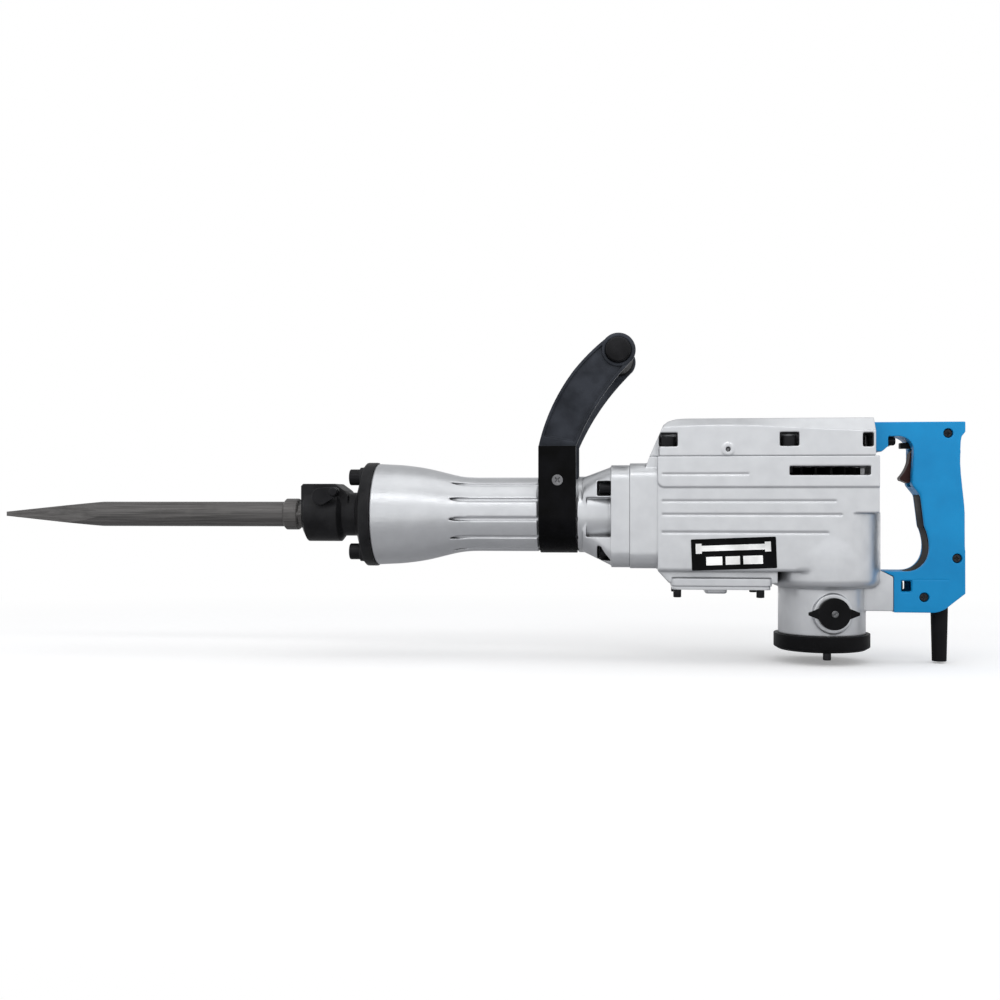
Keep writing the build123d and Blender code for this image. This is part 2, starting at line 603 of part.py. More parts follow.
with BuildPart() as main_housing:
    # neck that takes the cylinder case
    with BuildSketch(Plane.YZ.offset(CASE_REAR)):
        with Locations((0, (FLANGE_TOP + FLANGE_BOTTOM) / 2 + 0.5)):
            RectangleRounded(2 * NECK_W, FLANGE_TOP - FLANGE_BOTTOM + 3, 18)
    extrude(amount=BODY_FRONT + 10 - CASE_REAR)
    # gear case, with a sloped front above the neck
    with BuildSketch(Plane.YZ.offset(BODY_FRONT)):
        with Locations((0, (SEAM_Z + BODY_BOTTOM) / 2)):
            Rectangle(2 * BODY_W, SEAM_Z - BODY_BOTTOM)
    extrude(amount=ROUND_X - BODY_FRONT)
    fillet(main_housing.edges().filter_by(Axis.X).group_by(Axis.Z)[0], 3)
    # square rear above the ledge, round like the motor below it
    with BuildSketch(Plane.YZ.offset(ROUND_X)):
        with Locations((0, (SEAM_Z + LEDGE_Z) / 2)):
            Rectangle(2 * BODY_W, SEAM_Z - LEDGE_Z)
    extrude(amount=BODY_REAR - ROUND_X)
    with BuildSketch(Plane.XY.offset(BODY_BOTTOM)):
        with Locations((BULGE_X, 0)):
            Circle(BULGE_R)
            Rectangle(2 * BULGE_R + 2, 2 * BODY_W, mode=Mode.INTERSECT)
    extrude(amount=LEDGE_Z - BODY_BOTTOM)
    with BuildSketch(Plane.XZ):
        with BuildLine():
            Polyline((386, 50), (390.3, SEAM_Z), (BODY_FRONT + 2, SEAM_Z), (BODY_FRONT + 2, 50), close=True)
        make_face()
    extrude(amount=NECK_W - 5, both=True)
    # raised side panels under the seam
    with BuildSketch(Plane.XZ):
        with BuildLine():
            Line((BODY_FRONT, SEAM_Z), (BODY_FRONT, 37))
            ThreePointArc((BODY_FRONT, 37), (BODY_FRONT + 2, 32), (BODY_FRONT + 7, 30))
            Polyline((BODY_FRONT + 7, 30), (BODY_REAR, 30), (BODY_REAR, SEAM_Z), (BODY_FRONT, SEAM_Z))
        make_face()
    extrude(amount=PANEL_W, both=True)
    # motor bulge that grows out of the sides, and the barrel below it
    with BuildSketch(Plane.XZ):
        with BuildLine():
            Polyline(
                (BULGE_X, BULGE_BOTTOM + BULGE_ROUND), (BULGE_X, BULGE_TOP + BULGE_TAPER),
                (BULGE_X + BODY_W - 0.7, BULGE_TOP + BULGE_TAPER), (BULGE_X + BULGE_R, BULGE_TOP),
                (BULGE_X + BULGE_R, BULGE_BOTTOM + BULGE_ROUND),
            )
            RadiusArc(
                (BULGE_X + BULGE_R, BULGE_BOTTOM + BULGE_ROUND),
                (BULGE_X + BULGE_R - BULGE_ROUND, BULGE_BOTTOM),
                BULGE_ROUND,
            )
            Polyline((BULGE_X + BULGE_R - BULGE_ROUND, BULGE_BOTTOM), (BULGE_X, BULGE_BOTTOM),
                     (BULGE_X, BULGE_BOTTOM + BULGE_ROUND))
        make_face()
    revolve(axis=Axis((BULGE_X, 0, 0), (0, 0, 1)))
    with BuildSketch(Plane.XY.offset(MOTOR_BOTTOM)):
        with Locations((MOTOR_X, 0)):
            Circle(BARREL_LOW_R)
    extrude(amount=BULGE_BOTTOM + 12 - MOTOR_BOTTOM)
    # brush bosses on both sides
    for side, centre in zip(BRUSH_SIDES, BRUSH_CENTRES):
        with BuildSketch(side):
            with Locations((0, centre)):
                Circle(21)
        extrude(amount=BRUSH_BOSS_Y)
    # foot for the rear handle
    with BuildSketch(Plane.XZ):
        with BuildLine():
            Polyline(
                (600, -66), (632, -58), (641.5, -61.6), (HANDLE_FRONT - 0.3, -66.4),
                (HANDLE_FRONT - 0.3, -103.4), (620, -103.4), (600, -100), close=True,
            )
        make_face()
    extrude(amount=HANDLE_W, both=True)
    # bottom lip that carries the bottom cover
    with BuildSketch(Plane.XZ):
        with BuildLine():
            Polyline((BODY_FRONT, -56), (BODY_FRONT, BODY_BOTTOM), (LIP_FRONT, -73), (LIP_REAR + 6, -73),
                     (LIP_REAR + 6, -56), close=True)
        make_face()
    extrude(amount=LIP_W - 4, both=True)
    with BuildSketch(Plane.XY.offset(LIP_BOTTOM)):
        with Locations(((LIP_FRONT + LIP_REAR) / 2 + 1, 0)):
            RectangleRounded(LIP_REAR - LIP_FRONT - 2, 2 * LIP_W, 6)
    extrude(amount=LIP_TOP - LIP_BOTTOM)
    # ribs across the sides, each a short ramp that ends in a sharp step
    for step_z, rib_end in ((42, 495), (13.4, 586), (-1, 592), (-20, 578)):
        half = PANEL_W if step_z > 30 else BODY_W
        for side in (-1, 1):
            with BuildSketch(Plane.YZ.offset(BODY_FRONT + 4)):
                with BuildLine():
                    Polyline(
                        (side * (half + 1), step_z), (side * (half - 1.6), step_z),
                        (side * half, step_z + 3.5), (side * (half + 1), step_z + 3.5), close=True,
                    )
                make_face()
            extrude(amount=rib_end - BODY_FRONT - 4, mode=Mode.SUBTRACT)
    # cavities: cylinder bore, crank chamber, motor bore, bearing plate pocket
    with BuildSketch(Plane.YZ.offset(CASE_REAR - 1)):
        Circle(CASE_BORE)
    extrude(amount=BODY_FRONT + 6 - CASE_REAR, mode=Mode.SUBTRACT)
    with BuildSketch(Plane.XY.offset(CHAMBER_BOTTOM)):
        with Locations(((BODY_FRONT + 5 + CHAMBER_REAR) / 2, 0)):
            RectangleRounded(CHAMBER_REAR - BODY_FRONT - 5, 2 * CHAMBER_W, 8)
    extrude(amount=SEAM_Z - CHAMBER_BOTTOM, mode=Mode.SUBTRACT)
    with BuildSketch(Plane.XY.offset(LIP_BOTTOM - 1)):
        with Locations((464, 0)):
            RectangleRounded(76, 66, 6)
    extrude(amount=CHAMBER_BOTTOM + 2 - LIP_BOTTOM, mode=Mode.SUBTRACT)
    with BuildSketch(Plane.XY.offset(BULGE_BOTTOM + 2)):
        with Locations((MOTOR_X, 0)):
            Circle(MOTOR_BORE)
    extrude(amount=SEAM_Z - BULGE_BOTTOM, mode=Mode.SUBTRACT)
    with BuildSketch(Plane.XY.offset(MOTOR_BOTTOM)):
        with Locations((MOTOR_X, 0)):
            Circle(LOWER_BORE)
    extrude(amount=BULGE_BOTTOM + 3 - MOTOR_BOTTOM, mode=Mode.SUBTRACT)
    with BuildSketch(Plane.XY.offset(PLATE_LOW)):
        with Locations((520, 0)):
            RectangleRounded(226, 2 * CHAMBER_W + 1, 8)
        with Locations(*[(x, side * COVER_BOLT_Y) for x in COVER_BOLT_X for side in (-1, 1)]):
            Circle(8, mode=Mode.SUBTRACT)
    extrude(amount=SEAM_Z - PLATE_LOW, mode=Mode.SUBTRACT)
    # cooling air slots, one in each side
    with BuildSketch(Plane.XZ):
        with Locations(((VENT_LEFT + VENT_RIGHT) / 2, (VENT_LOW + VENT_HIGH) / 2)):
            Rectangle(VENT_RIGHT - VENT_LEFT, VENT_HIGH - VENT_LOW)
    extrude(amount=PANEL_W + 1, both=True, mode=Mode.SUBTRACT)
    # brush holder bores, and screw bosses in the motor barrel
    for side, centre in zip(BRUSH_SIDES, BRUSH_CENTRES):
        with BuildSketch(side):
            with Locations((0, centre)):
                Circle(12.5)
        extrude(amount=BRUSH_BOSS_Y + 1, mode=Mode.SUBTRACT)
    with BuildSketch(Plane.XY.offset(MOTOR_BOTTOM)):
        with Locations((MOTOR_X, -TAIL_SCREW_Y - 2), (MOTOR_X, TAIL_SCREW_Y + 2)):
            Circle(6)
    extrude(amount=12)
    with BuildSketch(Plane.XY.offset(MOTOR_BOTTOM)):
        with Locations((MOTOR_X, -TAIL_SCREW_Y), (MOTOR_X, TAIL_SCREW_Y)):
            Circle(2.2)
    extrude(amount=12, mode=Mode.SUBTRACT)
    # threaded holes
    with BuildSketch(Plane.YZ.offset(CASE_REAR)):
        with Locations(*CASE_BOLTS):
            Circle(4.1)
    extrude(amount=24, mode=Mode.SUBTRACT)
    with BuildSketch(Plane.XY.offset(SEAM_Z)):
        with Locations(*[(x, side * COVER_BOLT_Y) for x in COVER_BOLT_X for side in (-1, 1)]):
            Circle(4.1)
    extrude(amount=-20, mode=Mode.SUBTRACT)
    with BuildSketch(Plane.XY.offset(LIP_BOTTOM)):
        with Locations(*BOTTOM_BOLTS):
            Circle(2.6)
    extrude(amount=14, mode=Mode.SUBTRACT)
    with BuildSketch(Plane.YZ.offset(HANDLE_FRONT)):
        with Locations(*FOOT_BOLTS):
            Circle(4.1)
    extrude(amount=-24, mode=Mode.SUBTRACT)
save(main_housing, "main_housing")

with BuildPart() as bearing_plate:
    with BuildSketch(Plane.XY.offset(PLATE_LOW)):
        with Locations((520, 0)):
            RectangleRounded(225, 2 * CHAMBER_W, 7.5)
        with Locations(*[(x, side * COVER_BOLT_Y) for x in COVER_BOLT_X for side in (-1, 1)]):
            Circle(8.6, mode=Mode.SUBTRACT)
        with Locations((CRANK_X, 0), (MIDDLE_X, 0), (MOTOR_X, 0)):
            Circle(RACE_R, mode=Mode.SUBTRACT)
    extrude(amount=RACE_WIDTH)
save(bearing_plate, "bearing_plate")

# ------------------------------------------------------------------ gear cover
ROOF_Z, CAVITY_TOP = 85, 98
LIPS = ((386, 92.5), (450, 95.5), (500, 95), (550, 92.5), (COVER_REAR, 89.5))
PLUG = (473, 70)
HANDLE_BOLTS = [(y, HANDLE_BOLT_Z) for y in (-12, 12)]
UPPER_WALL = 620.5  # front of the wall that the upper handle bolts clamp

with BuildPart() as gear_cover:
    # upright sides up to a wavy lip, then a slope up to the top
    for x, lip in LIPS:
        with BuildSketch(Plane.YZ.offset(x)):
            with BuildLine():
                Polyline(
                    (-PANEL_W, SEAM_Z), (PANEL_W, SEAM_Z), (PANEL_W, lip), (44, COVER_TOP),
                    (-44, COVER_TOP), (-PANEL_W, lip), close=True,
                )
            make_face()
    loft()
    # sloped front, rounded front corners and a dropped rear edge
    with BuildSketch(Plane.XZ):
        with BuildLine():
            Polyline(
                (380, 50), (385.2, 50), (390.3, SEAM_Z), (404.8, 96), (410, 100.2), (418, 102.8),
                (428, COVER_TOP), (428, 120), (380, 120), close=True,
            )
        with BuildLine():
            Polyline((COVER_REAR - 4, COVER_TOP), (COVER_REAR, COVER_TOP - 4), (COVER_REAR + 5, 120),
                     (COVER_REAR - 4, 120), close=True)
        make_face()
    extrude(amount=70, both=True, mode=Mode.SUBTRACT)
    with BuildSketch(Plane.XY.offset(SEAM_Z)):
        with Locations((388, -PANEL_W), (388, PANEL_W)):
            Circle(13)
    extrude(amount=50, mode=Mode.SUBTRACT)
    # oil plug boss on each side
    with BuildSketch(Plane.XZ):
        with Locations(PLUG):
            Circle(6.5)
    extrude(amount=PANEL_W + 0.8, both=True)
    with BuildSketch(Plane.XZ.offset(-70)):
        with Locations(PLUG):
            Circle(2.5)
    extrude(amount=70 - PANEL_W + 3, mode=Mode.SUBTRACT)
    with BuildSketch(Plane.XZ.offset(PANEL_W - 3)):
        with Locations(PLUG):
            Circle(2.5)
    extrude(amount=10, mode=Mode.SUBTRACT)
    # gear space
    with BuildSketch(Plane.XY.offset(SEAM_Z)):
        with Locations((515, 0)):
            RectangleRounded(212, 93, 10)
        with Locations(*[(x, side * COVER_BOLT_Y) for x in COVER_BOLT_X for side in (-1, 1)]):
            Circle(7.5, mode=Mode.SUBTRACT)
    extrude(amount=FIRST_HIGH + 1 - SEAM_Z, mode=Mode.SUBTRACT)
    with BuildSketch(Plane.XY.offset(FIRST_HIGH + 1)):
        with Locations((510, 0)):
            RectangleRounded(190, 91, 10)
        with Locations(*[(x, side * COVER_BOLT_Y) for x in COVER_BOLT_X for side in (-1, 1)]):
            Circle(12.5, mode=Mode.SUBTRACT)
        with Locations(*[(x, side * 60) for x in COVER_BOLT_X for side in (-1, 1)]):
            Rectangle(25, 20, mode=Mode.SUBTRACT)
    extrude(amount=ROOF_Z + 0.5 - FIRST_HIGH - 1, mode=Mode.SUBTRACT)
    with BuildSketch(Plane.XY.offset(ROOF_Z)):
        with Locations((510, 0)):
            RectangleRounded(190, 2 * 35.5, 10)
    extrude(amount=CAVITY_TOP - ROOF_Z, mode=Mode.SUBTRACT)
    with BuildSketch(Plane.XY.offset(COVER_RACE_LOW - 0.5)):
        with Locations((CRANK_X, 0), (MIDDLE_X, 0)):
            Circle(20)
    extrude(amount=CAVITY_TOP + 2 - COVER_RACE_LOW)
    with BuildSketch(Plane.XY.offset(COVER_RACE_LOW - 1)):
        with Locations((CRANK_X, 0), (MIDDLE_X, 0)):
            Circle(RACE_R)
    extrude(amount=RACE_WIDTH + 1.2, mode=Mode.SUBTRACT)
    # pockets round the bolt heads, open to the sides
    with BuildSketch(Plane.XY.offset(COVER_BOLT_SEAT)):
        with Locations(*[(x, side * COVER_BOLT_Y) for x in COVER_BOLT_X for side in (-1, 1)]):
            Circle(10)
        with Locations(*[(x, side * 60) for x in COVER_BOLT_X for side in (-1, 1)]):
            Rectangle(20, 22)
    extrude(amount=14.5, mode=Mode.SUBTRACT)
    with BuildSketch(Plane.XY.offset(SEAM_Z - 1)):
        with Locations(*[(x, side * COVER_BOLT_Y) for x in COVER_BOLT_X for side in (-1, 1)]):
            Circle(4.2)
    extrude(amount=20, mode=Mode.SUBTRACT)
    # recess for the upper handle bolts, with a thicker wall where they go through
    with BuildSketch(Plane.XZ):
        with BuildLine():
            Polyline((612.5, 72.5), (623.5, 72.5), (623.5, 87), (612.5, 87), close=True)
        make_face()
    extrude(amount=60, both=True, mode=Mode.SUBTRACT)
    with BuildSketch(Plane.XZ):
        with BuildLine():
            Polyline((UPPER_WALL, 70), (624, 70), (624, 90), (UPPER_WALL, 90), close=True)
        make_face()
    extrude(amount=19, both=True)
    with BuildSketch(Plane.YZ.offset(610)):
        with Locations(*HANDLE_BOLTS):
            Circle(4.3)
    extrude(amount=30, mode=Mode.SUBTRACT)
save(gear_cover, "gear_cover")

with BuildPart() as gear_cover_bolts:
    with BuildSketch(Plane.XY.offset(COVER_BOLT_SEAT)):
        with Locations(*[(x, side * COVER_BOLT_Y) for x in COVER_BOLT_X for side in (-1, 1)]):
            Circle(8)
    extrude(amount=10.6)
    chamfer(gear_cover_bolts.faces().sort_by(Axis.Z)[-4:].edges(), 0.7)
    with BuildSketch(Plane.XY.offset(COVER_BOLT_SEAT + 10.6)):
        with Locations(*[(x, side * COVER_BOLT_Y) for x in COVER_BOLT_X for side in (-1, 1)]):
            RegularPolygon(4, 6, major_radius=False)
    extrude(amount=-5, mode=Mode.SUBTRACT)
    with BuildSketch(Plane.XY.offset(COVER_BOLT_SEAT)):
        with Locations(*[(x, side * COVER_BOLT_Y) for x in COVER_BOLT_X for side in (-1, 1)]):
            Circle(4)
    extrude(amount=-28)
save(gear_cover_bolts, "gear_cover_bolts")

# ------------------------------------------------------------------ bottom cover, nameplate
PLATE_THICK, BUMP_BOTTOM = 3.7, -85.4
with BuildPart() as bottom_cover:
    with BuildSketch(Plane.XY.offset(LIP_BOTTOM - PLATE_THICK)):
        with Locations(((LIP_FRONT + LIP_REAR) / 2 + 1, 0)):
            RectangleRounded(LIP_REAR - LIP_FRONT - 5, 2 * LIP_W - 3, 5)
        with Locations(*BOTTOM_BOLTS):
            Circle(2.8, mode=Mode.SUBTRACT)
    extrude(amount=PLATE_THICK)
    with BuildSketch(Plane.XY.offset(BUMP_BOTTOM)):
        with Locations((462, 0)):
            RectangleRounded(24, 60, 5)
    extrude(amount=LIP_BOTTOM - PLATE_THICK - BUMP_BOTTOM)
    chamfer(bottom_cover.faces().sort_by(Axis.Z)[0].edges(), 1.5)
save(bottom_cover, "bottom_cover")

with BuildPart() as bottom_cover_bolts:
    with BuildSketch(Plane.XY.offset(LIP_BOTTOM - PLATE_THICK)):
        with Locations(*BOTTOM_BOLTS):
            Circle(4.3)
    extrude(amount=-8.5)
    chamfer(bottom_cover_bolts.faces().sort_by(Axis.Z)[:4].edges(), 0.5)
    with BuildSketch(Plane.XY.offset(LIP_BOTTOM - PLATE_THICK - 8.5)):
        with Locations(*BOTTOM_BOLTS):
            RegularPolygon(2, 6, major_radius=False)
    extrude(amount=3.5, mode=Mode.SUBTRACT)
    with BuildSketch(Plane.XY.offset(LIP_BOTTOM - PLATE_THICK)):
        with Locations(*BOTTOM_BOLTS):
            Circle(2.5)
    extrude(amount=16)
save(bottom_cover_bolts, "bottom_cover_bolts")

with BuildPart() as nameplate:
    with BuildSketch(Plane.XZ.offset(BODY_W)):
        with Locations((479, -40.9)):
            RectangleRounded(89, 33.4, 1.2, rotation=2.2)
    extrude(amount=1)
save(nameplate, "nameplate")

# ------------------------------------------------------------------ motor
ARMATURE_LOW, ARMATURE_HIGH, ARMATURE_R, SPINDLE_R = -58, 8, 26.4, 9
STATOR_LOW, STATOR_HIGH, STATOR_IN = -60, 12, 27
FAN_LOW, FAN_HIGH, FAN_R = 33, 51.3, 44
COMMUTATOR_LOW, COMMUTATOR_HIGH, COMMUTATOR_R = -114, -94.5, 15.5

with BuildPart() as armature_shaft:
    with BuildSketch(Plane.XZ):
        with BuildLine():
            Polyline(
                (MOTOR_X, TAIL_RACE_LOW), (MOTOR_X + SHAFT_R, TAIL_RACE_LOW),
                (MOTOR_X + SHAFT_R, TAIL_RACE_LOW + RACE_WIDTH + 0.5),
                (MOTOR_X + SPINDLE_R, TAIL_RACE_LOW + RACE_WIDTH + 0.5),
                (MOTOR_X + SPINDLE_R, PLATE_LOW - 0.5), (MOTOR_X + SHAFT_R, PLATE_LOW - 0.5),
                (MOTOR_X + SHAFT_R, PLATE_TOP + 0.5), (MOTOR_X + 6, PLATE_TOP + 0.5),
                (MOTOR_X + 6, FIRST_LOW), (MOTOR_X, FIRST_LOW), close=True,
            )
        make_face()
    revolve(axis=Axis((MOTOR_X, 0, 0), (0, 0, 1)))
    with BuildSketch(Plane.XY.offset(FIRST_LOW - 0.5)):
        with BuildLine():
            Polyline(*gear_points(MOTOR_X, FIRST_PINION, FIRST_MODULE, 1.9, pi), close=True)
        make_face()
    extrude(amount=FIRST_HIGH - FIRST_LOW + 1)
save(armature_shaft, "armature_shaft")

with BuildPart() as armature_core:
    with BuildSketch(Plane.XY.offset(ARMATURE_LOW)):
        with Locations((MOTOR_X, 0)):
            Circle(ARMATURE_R)
            Circle(SPINDLE_R, mode=Mode.SUBTRACT)
            with PolarLocations(ARMATURE_R - 4.4, 12):
                SlotOverall(10, 3.6, mode=Mode.SUBTRACT)
    extrude(amount=ARMATURE_HIGH - ARMATURE_LOW)
save(armature_core, "armature_core")

with BuildPart() as armature_windings:
    for low, high in ((ARMATURE_HIGH, ARMATURE_HIGH + 14), (ARMATURE_LOW - 14, ARMATURE_LOW)):
        with BuildSketch(Plane.XZ):
            with Locations((MOTOR_X + 17, (low + high) / 2)):
                RectangleRounded(13, high - low, 4)
        revolve(axis=Axis((MOTOR_X, 0, 0), (0, 0, 1)))
save(armature_windings, "armature_windings")

with BuildPart() as commutator:
    with BuildSketch(Plane.XY.offset(COMMUTATOR_LOW)):
        with Locations((MOTOR_X, 0)):
            Circle(COMMUTATOR_R)
            Circle(SPINDLE_R, mode=Mode.SUBTRACT)
            with PolarLocations(COMMUTATOR_R, 24):
                Rectangle(2, 0.6, mode=Mode.SUBTRACT)
    extrude(amount=COMMUTATOR_HIGH - COMMUTATOR_LOW)
save(commutator, "commutator")

with BuildPart() as fan:
    with BuildSketch(Plane.XY.offset(FAN_LOW)):
        with Locations((MOTOR_X, 0)):
            Circle(FAN_R)
            Circle(SPINDLE_R, mode=Mode.SUBTRACT)
    extrude(amount=2.4)
    with BuildSketch(Plane.XY.offset(FAN_LOW)):
        with Locations((MOTOR_X, 0)):
            Circle(14)
            Circle(SPINDLE_R, mode=Mode.SUBTRACT)
    extrude(amount=FAN_HIGH - FAN_LOW)
    with BuildSketch(Plane.XY.offset(FAN_LOW)):
        with Locations((MOTOR_X, 0)):
            with PolarLocations(27.5, 16):
                Rectangle(28, 2.2, rotation=18)
    extrude(amount=FAN_HIGH - FAN_LOW)
save(fan, "fan")

with BuildPart() as stator_core:
    with BuildSketch(Plane.XY.offset(STATOR_LOW)):
        with Locations((MOTOR_X, 0)):
            Circle(MOTOR_BORE - 0.2)
            Circle(STATOR_IN, mode=Mode.SUBTRACT)
            with PolarLocations(35, 2, start_angle=90):
                RectangleRounded(11, 36, 3, mode=Mode.SUBTRACT)
    extrude(amount=STATOR_HIGH - STATOR_LOW)
save(stator_core, "stator_core")

with BuildPart() as stator_windings:
    for low, high, outer in ((STATOR_HIGH, STATOR_HIGH + 14, 43), (STATOR_LOW - 14, STATOR_LOW, 40)):
        with BuildSketch(Plane.XZ):
            with Locations((MOTOR_X + (STATOR_IN + outer) / 2 + 1, (low + high) / 2)):
                RectangleRounded(outer - STATOR_IN - 2, high - low, 4)
        revolve(axis=Axis((MOTOR_X, 0, 0), (0, 0, 1)))
save(stator_windings, "stator_windings")

# ------------------------------------------------------------------ brush gear, the same on both sides
HOLDER_IN, HOLDER_OUT, BRUSH_OUT = 19, 44, 31

with BuildPart() as brush_holders:
    for side, centre in zip(BRUSH_SIDES, BRUSH_CENTRES):
        with BuildSketch(side.offset(HOLDER_IN)):
            with Locations((0, centre)):
                Rectangle(12, 16)
                Rectangle(8.4, 12.4, mode=Mode.SUBTRACT)
        extrude(amount=HOLDER_OUT - HOLDER_IN)
save(brush_holders, "brush_holders")

with BuildPart() as carbon_brushes:
    for side, centre in zip(BRUSH_SIDES, BRUSH_CENTRES):
        with BuildSketch(side.offset(COMMUTATOR_R + 0.4)):
            with Locations((0, centre)):
                Rectangle(8, 12)
        extrude(amount=BRUSH_OUT - COMMUTATOR_R - 0.4)
save(carbon_brushes, "carbon_brushes")

with BuildPart() as brush_springs:
    for side, centre in zip(BRUSH_SIDES, BRUSH_CENTRES):
        for turn in range(5):
            with BuildSketch(side.offset(BRUSH_OUT + 0.1 + 2.5 * turn)):
                with Locations((0, centre)):
                    Circle(3.6)
                    Circle(2.6, mode=Mode.SUBTRACT)
            extrude(amount=1.1)
        with BuildSketch(side.offset(BRUSH_OUT + 0.1)):
            with Locations((3.1, centre)):
                Circle(0.5)
        extrude(amount=11)
save(brush_springs, "brush_springs")

CAP_THICK, EAR_REACH, EAR_ROOT = 4.5, 27, 15.5
with BuildPart() as brush_caps:
    for side, centre in zip(BRUSH_SIDES, BRUSH_CENTRES):
        with BuildSketch(side.offset(BRUSH_BOSS_Y)):
            with Locations((0, centre)):
                Circle(CAP_R)
        extrude(amount=CAP_THICK)
        with BuildSketch(side.offset(BRUSH_BOSS_Y)):
            with BuildLine():
                Polyline(
                    (-EAR_REACH, centre + 1.5), (-EAR_ROOT, centre + 6), (EAR_ROOT, centre + 6),
                    (EAR_REACH, centre + 1.5), (EAR_REACH, centre - 1.5), (EAR_ROOT, centre - 6),
                    (-EAR_ROOT, centre - 6), (-EAR_REACH, centre - 1.5), close=True,
                )
            make_face()
        extrude(amount=CAP_THICK - 1.2)
        with BuildSketch(side.offset(BRUSH_BOSS_Y - 5)):
            with Locations((0, centre)):
                Circle(12.3)
        extrude(amount=5)
        with BuildSketch(side.offset(BRUSH_BOSS_Y - 5)):
            with Locations((0, centre)):
                Circle(2)
        extrude(amount=12, mode=Mode.SUBTRACT)
save(brush_caps, "brush_caps")

with BuildPart() as brush_cap_screws:
    for side, centre in zip(BRUSH_SIDES, BRUSH_CENTRES):
        with BuildSketch(side.offset(BRUSH_BOSS_Y + CAP_THICK)):
            with Locations((0, centre)):
                Circle(3.6)
        extrude(amount=1.8)
        with BuildSketch(side.offset(BRUSH_BOSS_Y + CAP_THICK + 1.8)):
            with Locations((0, centre)):
                Rectangle(8, 1, rotation=35, mode=Mode.ADD)
        extrude(amount=-1, mode=Mode.SUBTRACT)
        with BuildSketch(side.offset(BRUSH_BOSS_Y - 4)):
            with Locations((0, centre)):
                Circle(1.9)
        extrude(amount=CAP_THICK + 4)
save(brush_cap_screws, "brush_cap_screws")

with BuildPart() as tail_cover:
    with BuildSketch(Plane.XY.offset(TAIL_BOTTOM)):
        with Locations((MOTOR_X, 0)):
            Circle(TAIL_R)
    extrude(amount=MOTOR_BOTTOM - TAIL_BOTTOM)
    chamfer(tail_cover.edges().filter_by(GeomType.CIRCLE).sort_by(Axis.Z)[0], 3, 5)
    with BuildSketch(Plane.XY.offset(MOTOR_BOTTOM - 5)):
        with Locations((MOTOR_X, 0)):
            Circle(LOWER_BORE - 9)
    extrude(amount=5, mode=Mode.SUBTRACT)
    with BuildSketch(Plane.XY.offset(TAIL_RACE_LOW)):
        with Locations((MOTOR_X, 0)):
            Circle(RACE_R)
    extrude(amount=RACE_WIDTH, mode=Mode.SUBTRACT)
    with BuildSketch(Plane.XY.offset(TAIL_BOTTOM)):
        with Locations((MOTOR_X, -TAIL_SCREW_Y), (MOTOR_X, TAIL_SCREW_Y)):
            Circle(2.3)
    extrude(amount=30, mode=Mode.SUBTRACT)
save(tail_cover, "tail_cover")

with BuildPart() as tail_cover_screws:
    with BuildSketch(Plane.XY.offset(TAIL_BOTTOM)):
        with Locations((MOTOR_X, -TAIL_SCREW_Y), (MOTOR_X, TAIL_SCREW_Y)):
            Circle(4.3)
    extrude(amount=-8)
    chamfer(tail_cover_screws.faces().sort_by(Axis.Z)[:2].edges(), 0.5)
    with BuildSketch(Plane.XY.offset(TAIL_BOTTOM - 8)):
        with Locations((MOTOR_X, -TAIL_SCREW_Y), (MOTOR_X, TAIL_SCREW_Y)):
            RegularPolygon(2, 6, major_radius=False)
    extrude(amount=3.5, mode=Mode.SUBTRACT)
    with BuildSketch(Plane.XY.offset(TAIL_BOTTOM)):
        with Locations((MOTOR_X, -TAIL_SCREW_Y), (MOTOR_X, TAIL_SCREW_Y)):
            Circle(2.1)
    extrude(amount=27)
save(tail_cover_screws, "tail_cover_screws")

# ------------------------------------------------------------------ rear handle
NEAR_SIDE = (0, -1, 0)
SHELL_SCREWS = ((708, 87.7), (717.3, -46.4), (683.1, -88.3))
PAD_THICK, PAD_W = 2.6, 15
EAR = (
    (645.4, 92), (COVER_REAR + 0.3, 92), (COVER_REAR + 0.3, 76), (632, 69.5), (638.5, 68), (645.4, 74),
    (645.4, 84.7),
)

# curve of the grip's front from the lower leg up, with the direction into the handle at each point
FRONT_CURVE = ((664, -60.6), (681, -54), (688, -38), (683.8, -14), (678.6, 21.5))
FRONT_INWARD = ((0, -1), (0.6, -0.8), (1, 0), (1, 0.13), (1, 0.13))


def front_curve(inset):
    """The grip's front curve, moved into the handle by inset."""
    return [(x + inset * nx, z + inset * nz) for (x, z), (nx, nz) in zip(FRONT_CURVE, FRONT_INWARD)]


with BuildSketch(Plane.XZ) as handle_outline:
    with BuildLine():
        Polyline((COVER_REAR + 0.3, HANDLE_TOP), (HANDLE_REAR, HANDLE_TOP), (HANDLE_REAR, 89), (722, 84.4))
        Spline((722, 84.4), (720.6, 68), (723.2, 27), (725.4, 3), tangents=((-0.3, -1), (0.05, -1)))
        Polyline((725.4, 3), (HANDLE_REAR, -84), (709, -97.5))
        ThreePointArc((709, -97.5), (701.5, -102.5), (692, HANDLE_BOTTOM))
        Polyline(
            (692, HANDLE_BOTTOM), (HANDLE_FRONT, HANDLE_BOTTOM), (HANDLE_FRONT, -66), (641.5, -61.2),
            (641.5, -60.6), FRONT_CURVE[0],
        )
        Spline(*front_curve(0), tangents=((1, 0), (-0.13, 1)))
        Polyline(FRONT_CURVE[-1], (670, 32.4), (672, 68))
        ThreePointArc((672, 68), (668.5, 79), (658, 84.7))
        Polyline((658, 84.7), *EAR[:1:-1], (COVER_REAR + 0.3, HANDLE_TOP))
    make_face()
